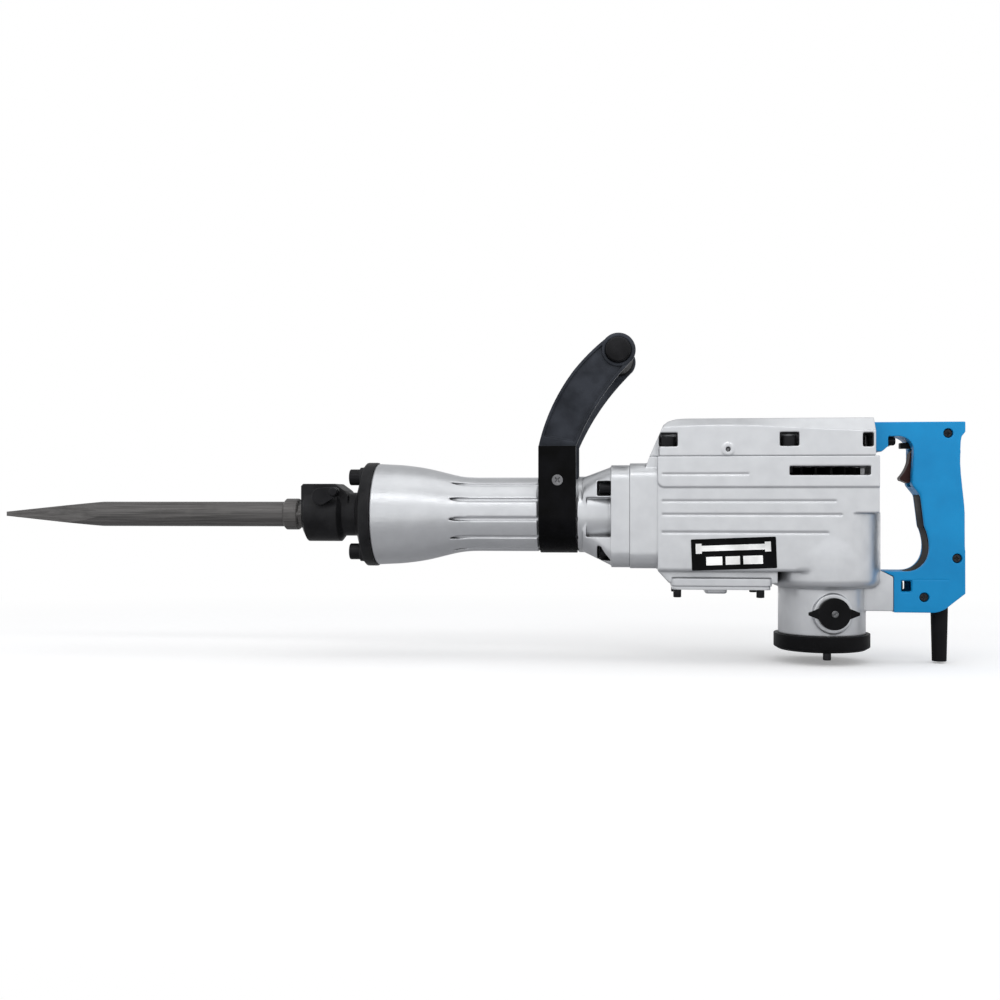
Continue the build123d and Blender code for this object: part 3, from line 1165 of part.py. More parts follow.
with BuildSketch(Plane.XZ) as pad_outline:
    with BuildLine():
        Spline(*front_curve(0), tangents=((1, 0), (-0.13, 1)))
        Line(front_curve(0)[-1], front_curve(PAD_THICK)[-1])
        Spline(*front_curve(PAD_THICK), tangents=((1, 0), (-0.13, 1)))
        Line(front_curve(PAD_THICK)[0], front_curve(0)[0])
    make_face()
with BuildSketch(Plane.XZ) as handle_hollow:
    with BuildLine():
        Polyline(
            front_curve(PAD_THICK + WALL)[-1], (675, 33), (676, 68), (673, 80), (661, 88), (649, 88),
            (649, HANDLE_TOP - WALL), (HANDLE_REAR - WALL, HANDLE_TOP - WALL), (HANDLE_REAR - WALL, 90.5),
            (718.8, 86), (717.4, 68), (720, 27), (722.2, 3), (HANDLE_REAR - WALL, -82.5), (706.5, -95),
            (699.5, -99.3), (691, HANDLE_BOTTOM + WALL), (HANDLE_FRONT + WALL, HANDLE_BOTTOM + WALL),
            (HANDLE_FRONT + WALL, FRONT_CURVE[0][1] - PAD_THICK - WALL), front_curve(PAD_THICK + WALL)[0],
        )
        Spline(*front_curve(PAD_THICK + WALL), tangents=((1, 0), (-0.13, 1)))
    make_face()

with BuildPart() as handle_shell_left:
    extrude(handle_outline.sketch, amount=HANDLE_W, dir=NEAR_SIDE)
    extrude(handle_hollow.sketch, amount=HANDLE_W - WALL, dir=NEAR_SIDE, mode=Mode.SUBTRACT)
    # solid ear for the upper bolts
    with BuildSketch(Plane.XZ):
        with BuildLine():
            Polyline(*EAR, close=True)
        make_face()
    extrude(amount=HANDLE_W - WALL)
    extrude(pad_outline.sketch, amount=PAD_W, dir=NEAR_SIDE, mode=Mode.SUBTRACT)
    # screw bosses with sunk heads
    with BuildSketch(Plane.XZ):
        with Locations(*SHELL_SCREWS):
            Circle(7)
    extrude(amount=HANDLE_W - 1)
    with BuildSketch(Plane.XZ):
        with Locations(*SHELL_SCREWS):
            Circle(2.3)
    extrude(amount=HANDLE_W + 1, mode=Mode.SUBTRACT)
    with BuildSketch(Plane.XZ.offset(HANDLE_W - 5)):
        with Locations(*SHELL_SCREWS):
            Circle(5.2)
    extrude(amount=7, mode=Mode.SUBTRACT)
    # access window to the foot bolt and the rib line beside it
    with BuildSketch(Plane.XZ.offset(HANDLE_W - 2)):
        with Locations((664.4, -76.5)):
            Rectangle(12, 13)
        with Locations((690, -69.6)):
            Rectangle(38, 1)
    extrude(amount=4, mode=Mode.SUBTRACT)
    with BuildSketch(Plane.XZ.offset(HANDLE_W - WALL - 1)):
        with Locations((664.4, -76.5)):
            Rectangle(10, 11)
    extrude(amount=8, mode=Mode.SUBTRACT)
    # trigger pivot socket
    with BuildSketch(Plane.XZ.offset(9)):
        with Locations((TRIGGER_X, TRIGGER_Z)):
            Circle(5)
    extrude(amount=HANDLE_W - 10)
    with BuildSketch(Plane.XZ):
        with Locations((TRIGGER_X, TRIGGER_Z)):
            Circle(2.5 + FIT)
    extrude(amount=14, mode=Mode.SUBTRACT)
    # openings in the front: trigger, lock button, bolts and cord guard
    with BuildSketch(Plane.XZ):
        with Locations((668, 51)):
            Rectangle(28, 41)
    extrude(amount=8.6, mode=Mode.SUBTRACT)
    with BuildSketch(Plane.XZ):
        with Locations((672, 75)):
            Rectangle(24, 7.4)
    extrude(amount=5.4, mode=Mode.SUBTRACT)
    with BuildSketch(Plane.YZ.offset(COVER_REAR)):
        with Locations(*[(y, z) for y, z in HANDLE_BOLTS if y < 0]):
            Circle(4.3)
    extrude(amount=30, mode=Mode.SUBTRACT)
    with BuildSketch(Plane.YZ.offset(HANDLE_FRONT - 1)):
        with Locations(*[(y, z) for y, z in FOOT_BOLTS if y < 0]):
            Circle(4.3)
    extrude(amount=6, mode=Mode.SUBTRACT)
    with BuildSketch(Plane.XY.offset(HANDLE_BOTTOM - 1)):
        with Locations((GUARD_X, 0)):
            Circle(9.1)
    extrude(amount=17.5, mode=Mode.SUBTRACT)
save(handle_shell_left, "handle_shell_left")

with BuildPart() as handle_shell_right:
    mirror(handle_shell_left.part, about=Plane.XZ)
save(handle_shell_right, "handle_shell_right")

with BuildPart() as grip_pad:
    extrude(pad_outline.sketch, amount=PAD_W - 0.1, both=True)
save(grip_pad, "grip_pad")

with BuildPart() as handle_screws:
    with BuildSketch(Plane.XZ.offset(HANDLE_W - 5)):
        with Locations(*SHELL_SCREWS):
            Circle(4.6)
    extrude(amount=2.6)
    fillet(handle_screws.faces().sort_by(Axis.Y)[:3].edges(), 0.8)
    with BuildSketch(Plane.XZ.offset(HANDLE_W - 2.4)):
        with Locations(*SHELL_SCREWS):
            Rectangle(5.6, 1)
            Rectangle(1, 5.6)
    extrude(amount=-1.5, mode=Mode.SUBTRACT)
    with BuildSketch(Plane.XZ.offset(HANDLE_W - 5)):
        with Locations(*SHELL_SCREWS):
            Circle(2.1)
    extrude(amount=-28)
save(handle_screws, "handle_screws")

NUT_X = 645.5
with BuildPart() as handle_bolts:
    # upper pair: heads ahead of the cover's rear wall, nuts behind the ear
    with BuildSketch(Plane.YZ.offset(UPPER_WALL - 0.1)):
        with Locations(*HANDLE_BOLTS):
            RegularPolygon(5.2, 6, major_radius=False)
    extrude(amount=-7.4)
    with BuildSketch(Plane.YZ.offset(NUT_X)):
        with Locations(*HANDLE_BOLTS):
            RegularPolygon(4.8, 6, major_radius=False)
    extrude(amount=7)
    with BuildSketch(Plane.YZ.offset(UPPER_WALL - 0.1)):
        with Locations(*HANDLE_BOLTS):
            Circle(4)
    extrude(amount=NUT_X + 8.5 - UPPER_WALL)
    # lower pair: heads inside the shells, threads in the housing's foot
    with BuildSketch(Plane.YZ.offset(HANDLE_FRONT + WALL + 0.1)):
        with Locations(*FOOT_BOLTS):
            Circle(6.5)
    extrude(amount=7)
    with BuildSketch(Plane.YZ.offset(HANDLE_FRONT + WALL + 0.1)):
        with Locations(*FOOT_BOLTS):
            Circle(4)
    extrude(amount=-25)
save(handle_bolts, "handle_bolts")

with BuildPart() as trigger:
    with BuildSketch(Plane.XZ):
        with BuildLine():
            Line((674, 70.4), (670.5, 66))
            ThreePointArc((670.5, 66), (668, 53), (660.6, 41))
            ThreePointArc((660.6, 41), (660.4, 38), (662.8, 36.6))
            Polyline((662.8, 36.6), (668, 34.4), (682, 38), (682, 68), (679, 70.4), (674, 70.4))
        make_face()
    extrude(amount=8, both=True)
    with BuildSketch(Plane.XZ):
        with Locations((TRIGGER_X, TRIGGER_Z)):
            Circle(2.5)
    extrude(amount=13, both=True)
save(trigger, "trigger")

with BuildPart() as lock_button:
    with BuildSketch(Plane.XZ):
        with BuildLine():
            Polyline(
                (661, 72.2), (661, 77.6), (662, 78.2), (682, 78.2), (682, 71.8), (661.6, 71.8), close=True,
            )
        make_face()
    extrude(amount=4.9, both=True)
save(lock_button, "lock_button")

with BuildPart() as switch_body:
    with BuildSketch(Plane.XZ):
        with Locations((704, 50)):
            RectangleRounded(23, 44, 2)
    extrude(amount=12, both=True)
    with BuildSketch(Plane.XZ):
        with Locations((691.5, 44)):
            Rectangle(4, 8)
    extrude(amount=3, both=True)
save(switch_body, "switch_body")

GUARD_TOP = -84
with BuildPart() as cord_guard:
    with BuildSketch(Plane.XZ):
        with BuildLine():
            Polyline(
                (GUARD_X + 4.8, GUARD_BOTTOM), (GUARD_X + 7.7, GUARD_BOTTOM), (GUARD_X + 9, HANDLE_BOTTOM),
                (GUARD_X + 9, GUARD_TOP - 4), (GUARD_X + 11, GUARD_TOP - 4), (GUARD_X + 11, GUARD_TOP),
                (GUARD_X + 4.8, GUARD_TOP), close=True,
            )
        make_face()
    revolve(axis=Axis((GUARD_X, 0, 0), (0, 0, 1)))
save(cord_guard, "cord_guard")

with BuildPart() as cord_clamp:
    with BuildSketch(Plane.XY.offset(-74)):
        with Locations((GUARD_X, 0)):
            RectangleRounded(16, 30, 3)
            Circle(4.8, mode=Mode.SUBTRACT)
    extrude(amount=7)
save(cord_clamp, "cord_clamp")

# ------------------------------------------------------------------ side handle
STRAP_FRONT, STRAP_REAR, ARM_THICK, ARM_FOOT = SEAT_FRONT + 1, SEAT_REAR - 1, 3.9, 20
STRAP_SCREW = (291, 37.8)

with BuildPart() as side_handle_strap:
    with BuildSketch(Plane.YZ.offset(STRAP_FRONT)):
        with BuildLine():
            Line((STRAP_IN, 0), (STRAP_IN, STRAP_TOP))
            Line((STRAP_IN, STRAP_TOP), (STRAP_R, STRAP_TOP))
            Line((STRAP_R, STRAP_TOP), (STRAP_R, 0))
            ThreePointArc((STRAP_R, 0), (0, -STRAP_R), (-STRAP_R, 0))
            Line((-STRAP_R, 0), (-STRAP_R, STRAP_TOP))
            Line((-STRAP_R, STRAP_TOP), (-STRAP_IN, STRAP_TOP))
            Line((-STRAP_IN, STRAP_TOP), (-STRAP_IN, 0))
            ThreePointArc((-STRAP_IN, 0), (0, -STRAP_IN), (STRAP_IN, 0))
        make_face()
    extrude(amount=STRAP_REAR - STRAP_FRONT)
    with BuildSketch(Plane.XZ):
        with Locations(STRAP_SCREW):
            Circle(3.2)
    extrude(amount=60, both=True, mode=Mode.SUBTRACT)
save(side_handle_strap, "side_handle_strap")

ARM_OUT, ARM_IN = STRAP_IN - 0.05, STRAP_IN - 0.05 - ARM_THICK
with BuildPart() as side_handle_arms:
    # seen from the front: upright inside the strap, then leaning out to the grip
    with BuildSketch(Plane.YZ.offset(260)):
        for side in (-1, 1):
            with BuildLine():
                Polyline(
                    (side * ARM_IN, ARM_FOOT), (side * ARM_OUT, ARM_FOOT), (side * ARM_OUT, STRAP_TOP + 1),
                    (side * (ARM_SPREAD + 5), 155), (side * (ARM_SPREAD + 5), 200),
                    (side * ARM_SPREAD, 200), (side * ARM_SPREAD, 156),
                    (side * ARM_IN, STRAP_TOP + 3), close=True,
                )
            make_face()
    extrude(amount=130)
    # seen from the side: curving back to a round end
    with BuildSketch(Plane.XZ):
        with BuildLine():
            Line((STRAP_FRONT, ARM_FOOT), (STRAP_FRONT, STRAP_TOP))
            ThreePointArc((STRAP_FRONT, STRAP_TOP), (287, 120), (342.7, 187.6))
            ThreePointArc((342.7, 187.6), (366, 192.1), (372, 165))
            ThreePointArc((372, 165), (333, 117), (STRAP_REAR, STRAP_TOP))
            Line((STRAP_REAR, STRAP_TOP), (STRAP_REAR, ARM_FOOT))
            Line((STRAP_REAR, ARM_FOOT), (STRAP_FRONT, ARM_FOOT))
        make_face()
    extrude(amount=80, both=True, mode=Mode.INTERSECT)
    with BuildSketch(Plane.XZ):
        with Locations((GRIP_X, GRIP_Z)):
            Circle(5.3)
        with Locations(STRAP_SCREW):
            Circle(3.2)
    extrude(amount=80, both=True, mode=Mode.SUBTRACT)
save(side_handle_arms, "side_handle_arms")

with BuildPart() as side_handle_screws:
    # short screws through strap and arm, with flat nuts recessed inside
    for side in SIDES:
        centre = STRAP_SCREW[1] if side is SIDES[0] else -STRAP_SCREW[1]
        with BuildSketch(side.offset(STRAP_R)):
            with Locations((STRAP_SCREW[0], centre)):
                Circle(6)
        extrude(amount=2.6)
        with BuildSketch(side.offset(STRAP_R + 2.6)):
            with Locations((STRAP_SCREW[0], centre)):
                Rectangle(7, 1.2, rotation=45)
                Rectangle(1.2, 7, rotation=45)
        extrude(amount=-1.6, mode=Mode.SUBTRACT)
        with BuildSketch(side.offset(ARM_IN)):
            with Locations((STRAP_SCREW[0], centre)):
                Circle(3)
        extrude(amount=STRAP_R - ARM_IN)
save(side_handle_screws, "side_handle_screws")

GRIP_HALF = ARM_SPREAD - 0.3
with BuildPart() as side_handle_grip:
    with BuildSketch(Plane.XY.offset(GRIP_Z)):
        with BuildLine():
            Line((GRIP_X + 5.2, -GRIP_HALF), (GRIP_X + 16.5, -GRIP_HALF))
            Line((GRIP_X + 16.5, -GRIP_HALF), (GRIP_X + 16.5, -GRIP_HALF + 3))
            Line((GRIP_X + 16.5, -GRIP_HALF + 3), (GRIP_X + 14.5, -GRIP_HALF + 6))
            ThreePointArc(
                (GRIP_X + 14.5, -GRIP_HALF + 6), (GRIP_X + 15.8, 0), (GRIP_X + 14.5, GRIP_HALF - 6),
            )
            Line((GRIP_X + 14.5, GRIP_HALF - 6), (GRIP_X + 16.5, GRIP_HALF - 3))
            Line((GRIP_X + 16.5, GRIP_HALF - 3), (GRIP_X + 16.5, GRIP_HALF))
            Line((GRIP_X + 16.5, GRIP_HALF), (GRIP_X + 5.2, GRIP_HALF))
            Line((GRIP_X + 5.2, GRIP_HALF), (GRIP_X + 5.2, -GRIP_HALF))
        make_face()
    revolve(axis=Axis((GRIP_X, 0, GRIP_Z), (0, 1, 0)))
save(side_handle_grip, "side_handle_grip")

with BuildPart() as side_handle_bolt:
    with BuildSketch(Plane.XZ.offset(-ARM_SPREAD - 6)):
        with Locations((GRIP_X, GRIP_Z)):
            Circle(5)
    extrude(amount=2 * ARM_SPREAD + 12)
    for near_end in (ARM_SPREAD + 5.3, -ARM_SPREAD - 5.3 - 7):
        with BuildSketch(Plane.XZ.offset(near_end)):
            with Locations((GRIP_X, GRIP_Z)):
                Circle(13.4)
        extrude(amount=7)
    chamfer(side_handle_bolt.edges().filter_by(GeomType.CIRCLE).sort_by(Axis.Y)[0], 1.5)
    chamfer(side_handle_bolt.edges().filter_by(GeomType.CIRCLE).sort_by(Axis.Y)[-1], 1.5)
save(side_handle_bolt, "side_handle_bolt")
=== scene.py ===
"""Looks of the electric jackhammer: finishes, softened castings and mouldings, and plain nameplate bars."""

import json
import math

import bmesh
import bpy
import numpy as np
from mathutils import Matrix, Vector


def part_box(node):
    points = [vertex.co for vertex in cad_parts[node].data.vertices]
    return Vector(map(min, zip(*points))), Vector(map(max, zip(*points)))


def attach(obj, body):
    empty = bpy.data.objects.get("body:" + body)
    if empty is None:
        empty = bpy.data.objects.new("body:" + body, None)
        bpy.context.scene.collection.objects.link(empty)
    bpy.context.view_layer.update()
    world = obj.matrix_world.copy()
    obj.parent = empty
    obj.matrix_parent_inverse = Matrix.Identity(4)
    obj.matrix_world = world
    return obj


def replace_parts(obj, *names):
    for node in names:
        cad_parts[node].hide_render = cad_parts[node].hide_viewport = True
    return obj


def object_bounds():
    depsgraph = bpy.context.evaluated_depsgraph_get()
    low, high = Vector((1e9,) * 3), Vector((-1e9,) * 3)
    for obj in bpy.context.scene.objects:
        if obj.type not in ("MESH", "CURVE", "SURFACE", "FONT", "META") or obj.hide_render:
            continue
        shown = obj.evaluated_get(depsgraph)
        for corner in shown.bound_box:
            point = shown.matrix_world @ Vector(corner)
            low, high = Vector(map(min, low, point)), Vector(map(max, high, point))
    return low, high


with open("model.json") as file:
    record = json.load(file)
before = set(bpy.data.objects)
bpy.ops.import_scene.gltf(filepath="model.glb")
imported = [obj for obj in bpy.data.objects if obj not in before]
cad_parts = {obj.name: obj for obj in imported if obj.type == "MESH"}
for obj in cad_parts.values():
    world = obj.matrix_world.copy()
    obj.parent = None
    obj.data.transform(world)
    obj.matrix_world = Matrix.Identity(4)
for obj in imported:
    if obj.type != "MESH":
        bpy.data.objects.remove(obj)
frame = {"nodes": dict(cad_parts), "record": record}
cad_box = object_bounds()
NODES = frame["nodes"]
MM = 0.001

# ------------------------------------------------------------------ camera, floor and light
scene = bpy.context.scene
scene.view_settings.view_transform = "Standard"

LENS, SENSOR = 45, 36  # mm
CAMERA_PLACE = (0.3748, -1.400, 0.0161)
CAMERA_YAW = 6.164  # degrees, towards the chisel
camera_data = bpy.data.cameras.new("camera")
camera_data.lens = LENS
camera_data.sensor_width = SENSOR
camera = bpy.data.objects.new("camera", camera_data)
camera.location = CAMERA_PLACE
camera.rotation_euler = (math.radians(90), 0, math.radians(CAMERA_YAW))
scene.collection.objects.link(camera)
scene.camera = camera

FLOOR_Z = cad_box[0].z - 0.002
FLOOR_REACH = 30
CORNERS = ((-1, -1), (1, -1), (1, 1), (-1, 1))
SHADOW_MIDDLE = 0.40  # along X
ALONG = 0.6  # what a distance along X counts for
SHADOW_ZONE, FADED = 0.45, 1.0  # the floor turns into backdrop between these distances from the middle
floor_mesh = bpy.data.meshes.new("floor")
floor_mesh.from_pydata([(x * FLOOR_REACH, y * FLOOR_REACH, FLOOR_Z) for x, y in CORNERS], [], [(0, 1, 2, 3)])
floor = bpy.data.objects.new("floor", floor_mesh)
scene.collection.objects.link(floor)


def set_inputs(node, inputs):
    """Sets sockets by name, with _ in place of each space."""
    for socket, value in inputs.items():
        node.inputs[socket.replace("_", " ")].default_value = value


def node_adder(tree):
    """Empties the tree and gives a short call that adds a node with its inputs set."""
    tree.nodes.clear()

    def node(kind, **inputs):
        made = tree.nodes.new("ShaderNode" + kind)
        set_inputs(made, inputs)
        return made

    return node


def floor_paint():
    """Pale matt floor that keeps the part's soft shadow and runs out into the white backdrop."""
    made = bpy.data.materials.new("floor_paint")
    made.use_nodes = True
    tree = made.node_tree
    node = node_adder(tree)

    def mixed(factor, first, second):
        new = node("MixShader")
        tree.links.new(factor, new.inputs["Fac"])
        tree.links.new(first, new.inputs[1])
        tree.links.new(second, new.inputs[2])
        return new.outputs[0]

    squeezed = node("VectorMath")
    squeezed.operation = "MULTIPLY"
    squeezed.inputs[1].default_value = (ALONG, 1, 1)
    tree.links.new(node("TexCoord").outputs["Object"], squeezed.inputs[0])
    away = node("VectorMath")
    away.operation = "DISTANCE"
    away.inputs[1].default_value = (SHADOW_MIDDLE * ALONG, 0, FLOOR_Z)
    tree.links.new(squeezed.outputs[0], away.inputs[0])
    fade = node("MapRange", From_Min=SHADOW_ZONE, From_Max=FADED)
    fade.interpolation_type = "SMOOTHSTEP"
    tree.links.new(away.outputs["Value"], fade.inputs["Value"])
    matt = node("BsdfDiffuse", Color=(0.88, 0.88, 0.88, 1))
    glow = node("Emission", Color=(1, 1, 1, 1), Strength=0.24)
    near = node("AddShader")
    tree.links.new(matt.outputs[0], near.inputs[0])
    tree.links.new(glow.outputs[0], near.inputs[1])
    white = node("Emission", Color=(1, 1, 1, 1), Strength=1.0)
    seen = mixed(fade.outputs["Result"], near.outputs[0], white.outputs[0])
    grey = node("BsdfDiffuse", Color=(0.46, 0.46, 0.47, 1))
    bright = node("Emission", Color=(1, 1, 1, 1), Strength=1.05)
    bounce = mixed(fade.outputs["Result"], grey.outputs[0], bright.outputs[0])
    surface = mixed(node("LightPath").outputs["Is Camera Ray"], bounce, seen)
    tree.links.new(surface, node("OutputMaterial").inputs["Surface"])
    return made


floor_mesh.materials.append(floor_paint())


def area_light(name, place, target, width, height, power):
    """A rectangular lamp at place that faces target."""
    data = bpy.data.lights.new(name, "AREA")
    data.shape = "RECTANGLE"
    data.size = width
    data.size_y = height
    data.energy = power
    lamp = bpy.data.objects.new(name, data)
    lamp.location = place
    lamp.rotation_euler = (Vector(target) - Vector(place)).to_track_quat("-Z", "Y").to_euler()
    scene.collection.objects.link(lamp)


area_light("key", place=(0.25, -1.25, 1.05), target=(0.3, 0, 0), width=2.6, height=0.28, power=6.0)
area_light("top", place=(0.4, -0.1, 1.6), target=(0.37, 0, 0), width=2.6, height=1.2, power=7.5)


def studio_world(levels, rear_level):
    """Soft light that changes with height, weaker behind the part, with a white backdrop for the camera."""
    world = bpy.data.worlds.new("studio")
    scene.world = world
    world.use_nodes = True
    tree = world.node_tree
    node = node_adder(tree)
    split = node("SeparateXYZ")
    tree.links.new(node("TexCoord").outputs["Generated"], split.inputs[0])
    height = node("MapRange", From_Min=-1, From_Max=1)
    tree.links.new(split.outputs["Z"], height.inputs["Value"])
    ramp = node("ValToRGB")
    tree.links.new(height.outputs["Result"], ramp.inputs["Fac"])
    stops = ramp.color_ramp.elements
    while len(stops) < len(levels):
        stops.new(0.5)
    for stop, (where, level) in zip(stops, levels):
        stop.position = where
        stop.color = (level, level * 1.005, level * 1.02, 1)
    soft = node("Background")
    tree.links.new(ramp.outputs["Color"], soft.inputs["Color"])
    behind = node("MapRange", From_Min=-0.1, From_Max=0.9, To_Min=1.0, To_Max=rear_level)
    tree.links.new(split.outputs["Y"], behind.inputs["Value"])
    tree.links.new(behind.outputs["Result"], soft.inputs["Strength"])
    backdrop = node("Background", Color=(1, 1, 1, 1), Strength=1.0)
    choose = node("MixShader")
    tree.links.new(node("LightPath").outputs["Is Camera Ray"], choose.inputs["Fac"])
    tree.links.new(soft.outputs[0], choose.inputs[1])
    tree.links.new(backdrop.outputs[0], choose.inputs[2])
    tree.links.new(choose.outputs[0], node("OutputWorld").inputs["Surface"])


# light level by height, from straight down at 0 to straight up at 1
LEVELS = ((0.0, 0.30), (0.46, 0.90), (0.52, 1.15), (0.72, 0.86), (1.0, 0.52))
studio_world(LEVELS, rear_level=0.62)


# ------------------------------------------------------------------ finishes
class Finish:
    """A Principled material with short calls for procedural detail, all in the part's own coordinates."""

    def __init__(self, name, **sockets):
        self.material = bpy.data.materials.new(name)
        self.material.use_nodes = True
        self.tree = self.material.node_tree
        self.shader = self.tree.nodes["Principled BSDF"]
        set_inputs(self.shader, sockets)
        self.coords = self.tree.nodes.new("ShaderNodeTexCoord").outputs["Object"]
        self.relief = None

    def node(self, kind, **settings):
        """Adds a node with its settings, which aren't sockets."""
        made = self.tree.nodes.new("ShaderNode" + kind)
        for key, value in settings.items():
            setattr(made, key, value)
        return made

    def link(self, source, target):
        self.tree.links.new(source, target)

    def stretched(self, x, y, z):
        """Coordinates that make a pattern finer along each axis by its factor."""
        mapping = self.node("Mapping")
        mapping.inputs["Scale"].default_value = (x, y, z)
        self.link(self.coords, mapping.inputs["Vector"])
        return mapping.outputs["Vector"]

    def noise(self, scale, detail=3.0, roughness=0.5, coords=None):
        made = self.node("TexNoise")
        set_inputs(made, {"Scale": scale, "Detail": detail, "Roughness": roughness})
        self.link(coords or self.coords, made.inputs["Vector"])
        return made.outputs["Fac"]

    def layers(self, scale, distortion):
        """Bands stacked along Z."""
        made = self.node("TexWave", bands_direction="Z")
        set_inputs(made, {"Scale": scale, "Distortion": distortion})
        self.link(self.coords, made.inputs["Vector"])
        return made.outputs["Fac"]

    def spread(self, value, low, high, start=0.35, end=0.65):
        """Runs from low to high while the value goes from start to end, and holds outside."""
        made = self.node("MapRange")
        set_inputs(made, {"From Min": start, "From Max": end, "To Min": low, "To Max": high})
        self.link(value, made.inputs["Value"])
        return made.outputs["Result"]

    def mix(self, factor, first, second):
        """A colour between first and second, each a plain colour or an output."""
        made = self.node("Mix", data_type="RGBA")
        self.link(factor, made.inputs["Factor"])
        for socket, value in (("A", first), ("B", second)):
            target = [s for s in made.inputs if s.name == socket and s.type == "RGBA"][0]
            if isinstance(value, tuple):
                target.default_value = (*value, 1)
            else:
                self.link(value, target)
        return [s for s in made.outputs if s.type == "RGBA"][0]

    def hollows(self, distance):
        """About 0 in a corner where shade falls and 1 on open faces; masks painted shade."""
        made = self.node("AmbientOcclusion", samples=4, only_local=True)
        made.inputs["Distance"].default_value = distance
        return made.outputs["AO"]

    def edges(self, radius):
        """Above 0 where a face turns a sharp corner, for wear."""
        rounded = self.node("Bevel", samples=4)
        rounded.inputs["Radius"].default_value = radius
        flat = self.node("NewGeometry")
        dot = self.node("VectorMath", operation="DOT_PRODUCT")
        self.link(rounded.outputs["Normal"], dot.inputs[0])
        self.link(flat.outputs["Normal"], dot.inputs[1])
        return self.spread(dot.outputs["Value"], 1.0, 0.0, start=0.90, end=0.995)

    def wear(self, radius, scale, detail, start, end, most=1):
        """Patches along the sharp edges, up to most."""
        made = self.node("Math", operation="MULTIPLY")
        self.link(self.edges(radius), made.inputs[0])
        self.link(self.spread(self.noise(scale, detail), 0, most, start, end), made.inputs[1])
        return made.outputs[0]

    def colour(self, value):
        self.link(value, self.shader.inputs["Base Color"])

    def roughness(self, value):
        self.link(value, self.shader.inputs["Roughness"])

    def bump(self, value, depth, strength):
        """Relief, added to any that the finish has already."""
        made = self.node("Bump")
        set_inputs(made, {"Strength": strength, "Distance": depth})
        self.link(value, made.inputs["Height"])
        if self.relief:
            self.link(self.relief, made.inputs["Normal"])
        self.relief = made.outputs["Normal"]
        self.link(self.relief, self.shader.inputs["Normal"])


def cast_silver():
    """Silver lacquer over a fine sand-cast surface, rubbed bright on the edges, with painted shade in its
    corners and deep inside.
    """
    f = Finish("cast_silver", Metallic=0.78, Coat_Weight=0.12, Coat_Roughness=0.25)
    tone = f.mix(f.spread(f.noise(55, 5), 0, 1, 0.3, 0.7), (0.600, 0.612, 0.630), (0.655, 0.668, 0.685))
    worn = f.mix(f.wear(0.0012, 150, 4, 0.4, 0.6, most=0.8), tone, (0.80, 0.81, 0.82))
    # painted shade: darker grey within 5 mm of a wall, in corners and creases
    corner_shade = f.mix(f.spread(f.hollows(0.005), 0, 1, 0.30, 0.80), (0.13, 0.13, 0.14), worn)
    # painted shade: faces deep inside the housing, far from any opening, turn near black
    inside_shade = (0.015, 0.014, 0.013)
    f.colour(f.mix(f.spread(f.hollows(0.045), 0, 1, 0.10, 0.38), inside_shade, corner_shade))
    f.roughness(f.spread(f.noise(90, 4), 0.30, 0.40))
    f.bump(f.noise(1100, 3, 0.6), 0.00010, 0.45)
    f.bump(f.noise(120, 2), 0.0003, 0.18)
    return f.material


def turned_silver():
    """Machined aluminium with fine turning lines."""
    f = Finish("turned_silver", Metallic=0.95)
    f.colour(f.mix(f.spread(f.noise(30), 0, 1), (0.62, 0.63, 0.64), (0.72, 0.73, 0.74)))
    f.roughness(f.spread(f.noise(300, 2, coords=f.stretched(6, 1, 1)), 0.24, 0.36))
    f.bump(f.noise(500, 2, coords=f.stretched(6, 0.3, 0.3)), 0.0001, 0.4)
    return f.material


def forged_steel():
    """Dark forged bar, ground along its length, with worn bright spots."""
    f = Finish("forged_steel", Metallic=0.30, Specular_IOR_Level=0.30)
    lines = f.noise(90, 4, 0.6, f.stretched(0.15, 6, 6))
    blotch = f.noise(26, 5, 0.65)
    dark = f.mix(f.spread(lines, 0, 1), (0.070, 0.067, 0.065), (0.135, 0.130, 0.127))
    f.colour(f.mix(f.spread(blotch, 0, 1, 0.52, 0.75), dark, (0.13, 0.125, 0.12)))
    f.roughness(f.spread(blotch, 0.30, 0.44))
    f.bump(lines, 0.0002, 0.35)
    f.bump(f.noise(500, 3), 0.00012, 0.5)
    return f.material


def worn_black(name, base, edge, rough, radius=0.0006, speckle=700, metallic=0.3, shade_reach=0.0):
    """Black finish on steel or iron: fine speckle and worn edges; a reach in metres, when given, adds painted
    shade in corners within that reach of a wall.
    """
    f = Finish(name, Metallic=metallic, Specular_IOR_Level=0.12)
    patch = f.noise(45, 4)
    tone = f.mix(f.spread(patch, 0, 1), base, tuple(min(1, c * 1.7 + 0.003) for c in base))
    worn = f.mix(f.wear(radius, 160, 4, 0.42, 0.62), tone, edge)
    # painted shade: corners near a wall go darker, down to 0.15 of the base colour
    if shade_reach:
        worn = f.mix(f.spread(f.hollows(shade_reach), 0, 1, 0.45, 0.85), tuple(c * 0.15 for c in base), worn)
    f.colour(worn)
    f.roughness(f.spread(patch, rough, rough + 0.12))
    f.bump(f.noise(speckle, 3, 0.6), 0.00012, 0.6)
    return f.material


def gloss_black():
    """Thick black enamel with slight orange peel, chipped to grey at its edges."""
    f = Finish("gloss_black", Specular_IOR_Level=0.03, Coat_Weight=0.03, Coat_Roughness=0.15)
    tone = f.mix(f.spread(f.noise(40), 0, 1), (0.002, 0.002, 0.002), (0.005, 0.005, 0.006))
    f.colour(f.mix(f.wear(0.0005, 120, 4, 0.5, 0.65), tone, (0.08, 0.08, 0.085)))
    f.roughness(f.spread(f.noise(90), 0.26, 0.38))
    f.bump(f.noise(160, 2), 0.00018, 0.30)
    return f.material


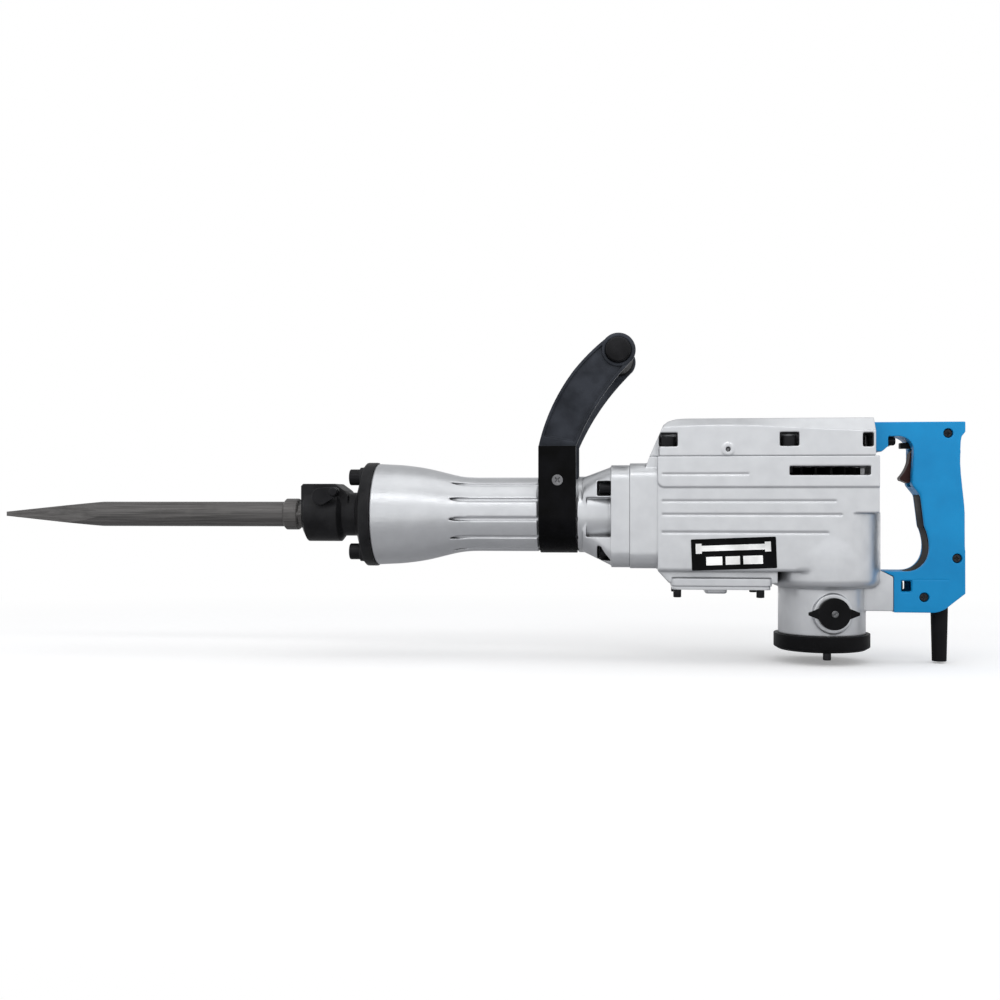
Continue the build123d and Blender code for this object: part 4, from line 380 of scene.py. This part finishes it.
def blue_nylon():
    """Blue glass-filled nylon with a moulded grain, a little paler where hands rub it, with painted shade in
    its corners.
    """
    f = Finish("blue_nylon", Specular_IOR_Level=0.28)
    tone = f.mix(f.spread(f.noise(22, 4), 0, 1), (0.000, 0.250, 0.570), (0.002, 0.290, 0.640))
    worn = f.mix(f.wear(0.0012, 60, 4, 0.4, 0.6), tone, (0.07, 0.36, 0.74))
    # painted shade: darker blue within 4 mm of a wall
    f.colour(f.mix(f.spread(f.hollows(0.004), 0, 1, 0.3, 0.8), (0.0, 0.04, 0.15), worn))
    f.roughness(f.spread(f.noise(240, 3), 0.38, 0.50))
    f.bump(f.noise(1300, 2, 0.6), 0.00010, 0.5)
    return f.material


def rubber(name, base, rough=0.62):
    """Moulded rubber or pressed carbon, chalky in places."""
    f = Finish(name, Specular_IOR_Level=0.12)
    chalk = f.noise(30, 5, 0.6)
    f.colour(f.mix(f.spread(chalk, 0, 1), base, tuple(c * 1.7 + 0.002 for c in base)))
    f.roughness(f.spread(chalk, rough - 0.08, rough + 0.1))
    f.bump(f.noise(800, 3, 0.6), 0.00015, 0.6)
    return f.material


def moulded_plastic(name, base, rough):
    """Satin moulded plastic with a fine spark-eroded grain."""
    f = Finish(name, Specular_IOR_Level=0.10)
    patch = f.noise(40, 4)
    tone = f.mix(f.spread(patch, 0, 1), base, tuple(c * 1.5 + 0.001 for c in base))
    f.colour(f.mix(f.wear(0.0007, 130, 3, 0.45, 0.62), tone, tuple(c * 2.5 + 0.06 for c in base)))
    f.roughness(f.spread(patch, rough, rough + 0.12))
    f.bump(f.noise(1100, 2, 0.6), 0.00010, 0.5)
    return f.material


def plain_metal(name, dark, light, rough):
    """Machined or drawn metal inside the tool: fine grain and oil patches."""
    f = Finish(name, Metallic=0.95)
    oil = f.noise(35, 4)
    f.colour(f.mix(f.spread(oil, 0, 1), dark, light))
    f.roughness(f.spread(oil, rough, rough + 0.14))
    f.bump(f.noise(600, 3), 0.0001, 0.35)
    return f.material


def laminations():
    """Thin steel sheets, stacked along Z."""
    f = Finish("laminations", Metallic=0.8)
    sheets = f.layers(320, 0.4)
    f.colour(f.mix(sheets, (0.16, 0.16, 0.17), (0.36, 0.37, 0.39)))
    f.roughness(f.spread(f.noise(90), 0.36, 0.5))
    f.bump(sheets, 0.0002, 0.6)
    return f.material


def copper_wire():
    """Lacquered wire wound round the motor's axis."""
    f = Finish("copper_wire", Metallic=0.8, Coat_Weight=0.6)
    turns = f.layers(260, 2.5)
    f.colour(f.mix(turns, (0.28, 0.09, 0.03), (0.72, 0.30, 0.12)))
    f.roughness(f.spread(f.noise(120), 0.25, 0.4))
    f.bump(turns, 0.0004, 0.8)
    return f.material


BY_SLOT = {
    "tool_steel": forged_steel(),
    "machined_steel": plain_metal("machined_steel", (0.42, 0.42, 0.43), (0.58, 0.58, 0.59), 0.22),
    "gear_steel": plain_metal("gear_steel", (0.28, 0.27, 0.26), (0.44, 0.43, 0.42), 0.28),
    "black_bolt_steel": worn_black(
        "bolt_black", (0.010, 0.010, 0.011), (0.16, 0.16, 0.165), 0.30, metallic=0.6
    ),
    "black_casting": worn_black(
        "casting_black", (0.012, 0.012, 0.013), (0.10, 0.10, 0.105), 0.36, radius=0.0008, speckle=450
    ),
    "cast_aluminium": cast_silver(),
    "turned_aluminium": turned_silver(),
    "black_strap": gloss_black(),
    # the arms' finish paints shade along the inner edges of their channel rims
    "black_arm": worn_black(
        "arm_black", (0.026, 0.029, 0.036), (0.05, 0.054, 0.062), 0.34, radius=0.0008, speckle=900,
        metallic=0.2, shade_reach=0.006,
    ),
    "black_rubber": rubber("black_rubber", (0.005, 0.005, 0.006)),
    "seal_rubber": rubber("seal_rubber", (0.018, 0.017, 0.016), 0.5),
    "blue_plastic": blue_nylon(),
    "black_plastic": moulded_plastic("black_plastic", (0.003, 0.003, 0.0035), 0.34),
    "trigger_plastic": moulded_plastic("trigger_plastic", (0.035, 0.014, 0.012), 0.34),
    "plate": gloss_black(),
    "electrical_steel": laminations(),
    "copper_winding": copper_wire(),
    "commutator_copper": plain_metal("commutator_copper", (0.50, 0.22, 0.10), (0.76, 0.40, 0.20), 0.25),
    "fan_plastic": moulded_plastic("fan_plastic", (0.003, 0.003, 0.003), 0.5),
    "holder_brass": plain_metal("holder_brass", (0.46, 0.31, 0.10), (0.72, 0.54, 0.22), 0.28),
    "carbon": rubber("carbon", (0.020, 0.020, 0.021), 0.7),
    "screw_steel": worn_black(
        "screw_black", (0.022, 0.022, 0.024), (0.34, 0.34, 0.35), 0.28, radius=0.0004, metallic=0.8
    ),
}
RUBBED = ("side_handle_screws", "brush_cap_screws")  # heads that tools have rubbed bare
BARE_SCREW = worn_black(
    "screw_bare", (0.13, 0.13, 0.135), (0.65, 0.65, 0.66), 0.24, radius=0.0004, metallic=0.9
)
PRINT = moulded_plastic("plate_print", (0.78, 0.78, 0.77), 0.45)
BODY_OF = {node: body for body, nodes in frame["record"]["behaviour"]["bodies"].items() for node in nodes}
SLOT_OF = {}
for entry in frame["record"]["subparts"]:
    SLOT_OF[entry["node"]] = entry["material_slot"]
    mesh = NODES[entry["node"]].data
    mesh.materials.clear()
    mesh.materials.append(BY_SLOT[entry["material_slot"]])


# ------------------------------------------------------------------ softened castings, mouldings and forgings
# voxel size in mm, smoothing passes, and the share of faces kept
SOFT = {
    "main_housing": (0.8, 4, 0.10), "gear_cover": (0.8, 4, 0.18), "cylinder_case": (0.8, 3, 0.14),
    "front_cover": (0.6, 4, 0.14), "bottom_cover": (0.5, 3, 0.14), "tail_cover": (0.5, 3, 0.14),
    "brush_caps": (0.35, 3, 0.20), "handle_shell_left": (0.6, 5, 0.16), "handle_shell_right": (0.6, 5, 0.16),
    "grip_pad": (0.5, 3, 0.3), "side_handle_strap": (0.6, 3, 0.2), "side_handle_grip": (0.6, 3, 0.3),
    "point_chisel": (0.5, 3, 0.12), "trigger": (0.4, 4, 0.25), "lock_button": (0.3, 3, 0.3),
    "cord_guard": (0.4, 3, 0.2), "stop_lever": (0.35, 3, 0.2), "front_cover_bolts": (0.4, 2, 0.15),
    "cylinder_case_bolts": (0.4, 2, 0.15), "gear_cover_bolts": (0.4, 2, 0.15),
    "bottom_cover_bolts": (0.35, 2, 0.15), "brush_cap_screws": (0.22, 2, 0.2),
    "tail_cover_screws": (0.3, 2, 0.15), "handle_screws": (0.25, 2, 0.15), "handle_bolts": (0.4, 2, 0.15),
    "side_handle_screws": (0.3, 2, 0.2), "side_handle_bolt": (0.4, 3, 0.2), "switch_body": (0.5, 2, 0.2),
}
# boxes, the same on both sides, in which a piece is rounded far more: low and high corners in mm, and passes
BLENDS = {
    "main_housing": (((543, 50, -62), (626, 62, -23), 120), ((579, 50, -30), (614, 62, -8), 60)),
    "handle_shell_left": (((666, 9, -38), (730, 25, 66), 120),),
    "handle_shell_right": (((666, 9, -38), (730, 25, 66), 120),),
}
BLEND_STEPS = 3
BLEND_MARGIN = 4.0 * np.array((1, 0, 1))  # how much further inside a box each step stays, in mm
# the ring's section: radius from the pin's axis and height above the arm's outer face
RING = (
    (0.0137, -0.004), (0.0137, 0.0008), (0.0144, 0.0014),
    (0.0166, 0.0014), (0.0174, 0.0006), (0.0174, -0.004),
)
RING_STEPS = 64
ARM_FOOT = 0.080  # the arms' channel starts above it, clear of the strap
ARM_RIM, ARM_DEPTH = 0.0030, 0.0018


def welded(node):
    """The node's mesh as one closed bmesh."""
    shape = bmesh.new()
    shape.from_mesh(NODES[node].data)
    bmesh.ops.remove_doubles(shape, verts=shape.verts, dist=1e-6)
    return shape


def add_piece(name, mesh, node, finish=None):
    """Adds a piece parented to the node's body, in the finish of the node's slot unless another is given."""
    body, slot = BODY_OF[node], SLOT_OF[node]
    made = bpy.data.objects.new(name, mesh)
    scene.collection.objects.link(made)
    mesh.materials.clear()
    mesh.materials.append(finish or BY_SLOT[slot])
    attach(made, body)
    return made


def shaped(owner, name):
    """The owner's mesh with its modifiers applied."""
    mesh = bpy.data.meshes.new_from_object(owner.evaluated_get(bpy.context.evaluated_depsgraph_get()))
    mesh.name = name
    return mesh


def smoothing(owner, passes, group=""):
    """Rounds the owner, or only the vertices in its group."""
    rounding = owner.modifiers.new("rounding", "SMOOTH")
    rounding.factor = 0.5
    rounding.iterations = passes
    rounding.vertex_group = group


def round_boxes(owner, boxes):
    """Rounds the owner far more inside the boxes, in steps that each stay further from a box's sides."""
    places = np.empty(len(owner.data.vertices) * 3)
    owner.data.vertices.foreach_get("co", places)
    places = places.reshape(-1, 3) / MM
    places[:, 1] = abs(places[:, 1])
    for low, high, passes in boxes:
        for step in range(BLEND_STEPS):
            margin = step * BLEND_MARGIN
            inside = np.all((places > np.add(low, margin)) & (places < np.subtract(high, margin)), axis=1)
            group = owner.vertex_groups.new(name="blend")
            group.add(np.nonzero(inside)[0].tolist(), 1.0, "REPLACE")
            smoothing(owner, passes // BLEND_STEPS, group.name)


def soften(node, cell, passes, keep, shape=None, finish=None):
    """Replaces a node by a closed copy with edges rounded over about two cells, and more inside BLENDS."""
    shape = shape or welded(node)
    mesh = bpy.data.meshes.new(node + "_welded")
    shape.to_mesh(mesh)
    shape.free()
    rough = bpy.data.objects.new(node + "_rough", mesh)
    scene.collection.objects.link(rough)
    cells = rough.modifiers.new("cells", "REMESH")
    cells.mode = "VOXEL"
    cells.voxel_size = cell * MM
    if node in BLENDS:
        rough.data = shaped(rough, node + "_cells")
        rough.modifiers.clear()
        round_boxes(rough, BLENDS[node])
    smoothing(rough, passes)
    thin = rough.modifiers.new("thin", "DECIMATE")
    thin.ratio = keep
    final = shaped(rough, node + "_soft")
    bpy.data.objects.remove(rough)
    final.polygons.foreach_set("use_smooth", [True] * len(final.polygons))
    final.update()
    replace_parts(add_piece(node + "_soft", final, node, finish), node)


def channelled(node, pin):
    """The arms' outer faces sunk between rims, and a ring at each end of the pin."""
    shape = welded(node)
    shape.normal_update()
    for side in (-1, 1):
        outer = []
        for face in shape.faces:
            middle = face.calc_center_median()
            if face.normal.y * side > 0.8 and middle.y * side > 0 and middle.z > ARM_FOOT:
                outer.append(face)
        for width, depth in ((ARM_RIM, 0), (ARM_RIM / 4, ARM_DEPTH)):
            bmesh.ops.inset_region(shape, faces=outer, thickness=width, depth=-depth, use_even_offset=True)
    low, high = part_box(pin)
    centre = (low + high) / 2
    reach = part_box(node)[1].y
    for side in (-1, 1):
        loops = []
        for step in range(RING_STEPS):
            turn = math.tau * step / RING_STEPS
            across, up = math.cos(turn), math.sin(turn)
            loops.append([
                shape.verts.new((centre.x + radius * across, side * (reach + rise), centre.z + radius * up))
                for radius, rise in RING
            ])
        for step, loop in enumerate(loops):
            following = loops[(step + 1) % RING_STEPS]
            for corner in range(len(RING)):
                after = (corner + 1) % len(RING)
                shape.faces.new((loop[corner], following[corner], following[after], loop[after]))
    bmesh.ops.recalc_face_normals(shape, faces=shape.faces)
    return shape


for node, (cell, passes, keep) in SOFT.items():
    soften(node, cell, passes, keep, finish=BARE_SCREW if node in RUBBED else None)
soften("side_handle_arms", 0.5, 2, 0.14, shape=channelled("side_handle_arms", "side_handle_bolt"))


# ------------------------------------------------------------------ generic marks on the nameplate
BAR_PROUD, BAR_SUNK = 0.00015, 0.0003
# the bars' start, end, bottom and top, as shares of the plate's length and height
BARS = (
    (0.05, 0.12, 0.54, 0.86), (0.12, 0.87, 0.61, 0.79), (0.87, 0.94, 0.54, 0.86),
    (0.17, 0.36, 0.15, 0.42), (0.40, 0.57, 0.15, 0.42), (0.61, 0.84, 0.15, 0.42),
)


def print_bars():
    """Two rows of plain raised bars, parallel to the plate's own tilt."""
    plate = welded("nameplate")
    face_y = min(v.co.y for v in plate.verts)
    spots = [v.co.copy() for v in plate.verts]
    plate.free()
    foot_left, foot_right = min(spots, key=lambda c: c.x + c.z), max(spots, key=lambda c: c.x - c.z)
    head_left, head_right = min(spots, key=lambda c: c.x - c.z), max(spots, key=lambda c: c.x + c.z)
    shape = bmesh.new()

    def spot(u, v, y):
        """A corner at shares u and v of the plate's length and height."""
        foot, head = foot_left.lerp(foot_right, u), head_left.lerp(head_right, u)
        place = foot.lerp(head, v)
        return shape.verts.new((place.x, y, place.z))

    def bar(start, end, bottom, top):
        corners = [
            spot(u, v, y)
            for y in (face_y - BAR_PROUD, face_y + BAR_SUNK)
            for u, v in ((start, bottom), (end, bottom), (end, top), (start, top))
        ]
        for ring in ((0, 3, 2, 1), (4, 5, 6, 7), (0, 1, 5, 4), (1, 2, 6, 5), (2, 3, 7, 6), (3, 0, 4, 7)):
            shape.faces.new([corners[i] for i in ring])

    for extents in BARS:
        bar(*extents)
    bmesh.ops.recalc_face_normals(shape, faces=shape.faces)
    mesh = bpy.data.meshes.new("nameplate_bars")
    shape.to_mesh(mesh)
    shape.free()
    add_piece("nameplate_bars", mesh, "nameplate", PRINT)


print_bars()
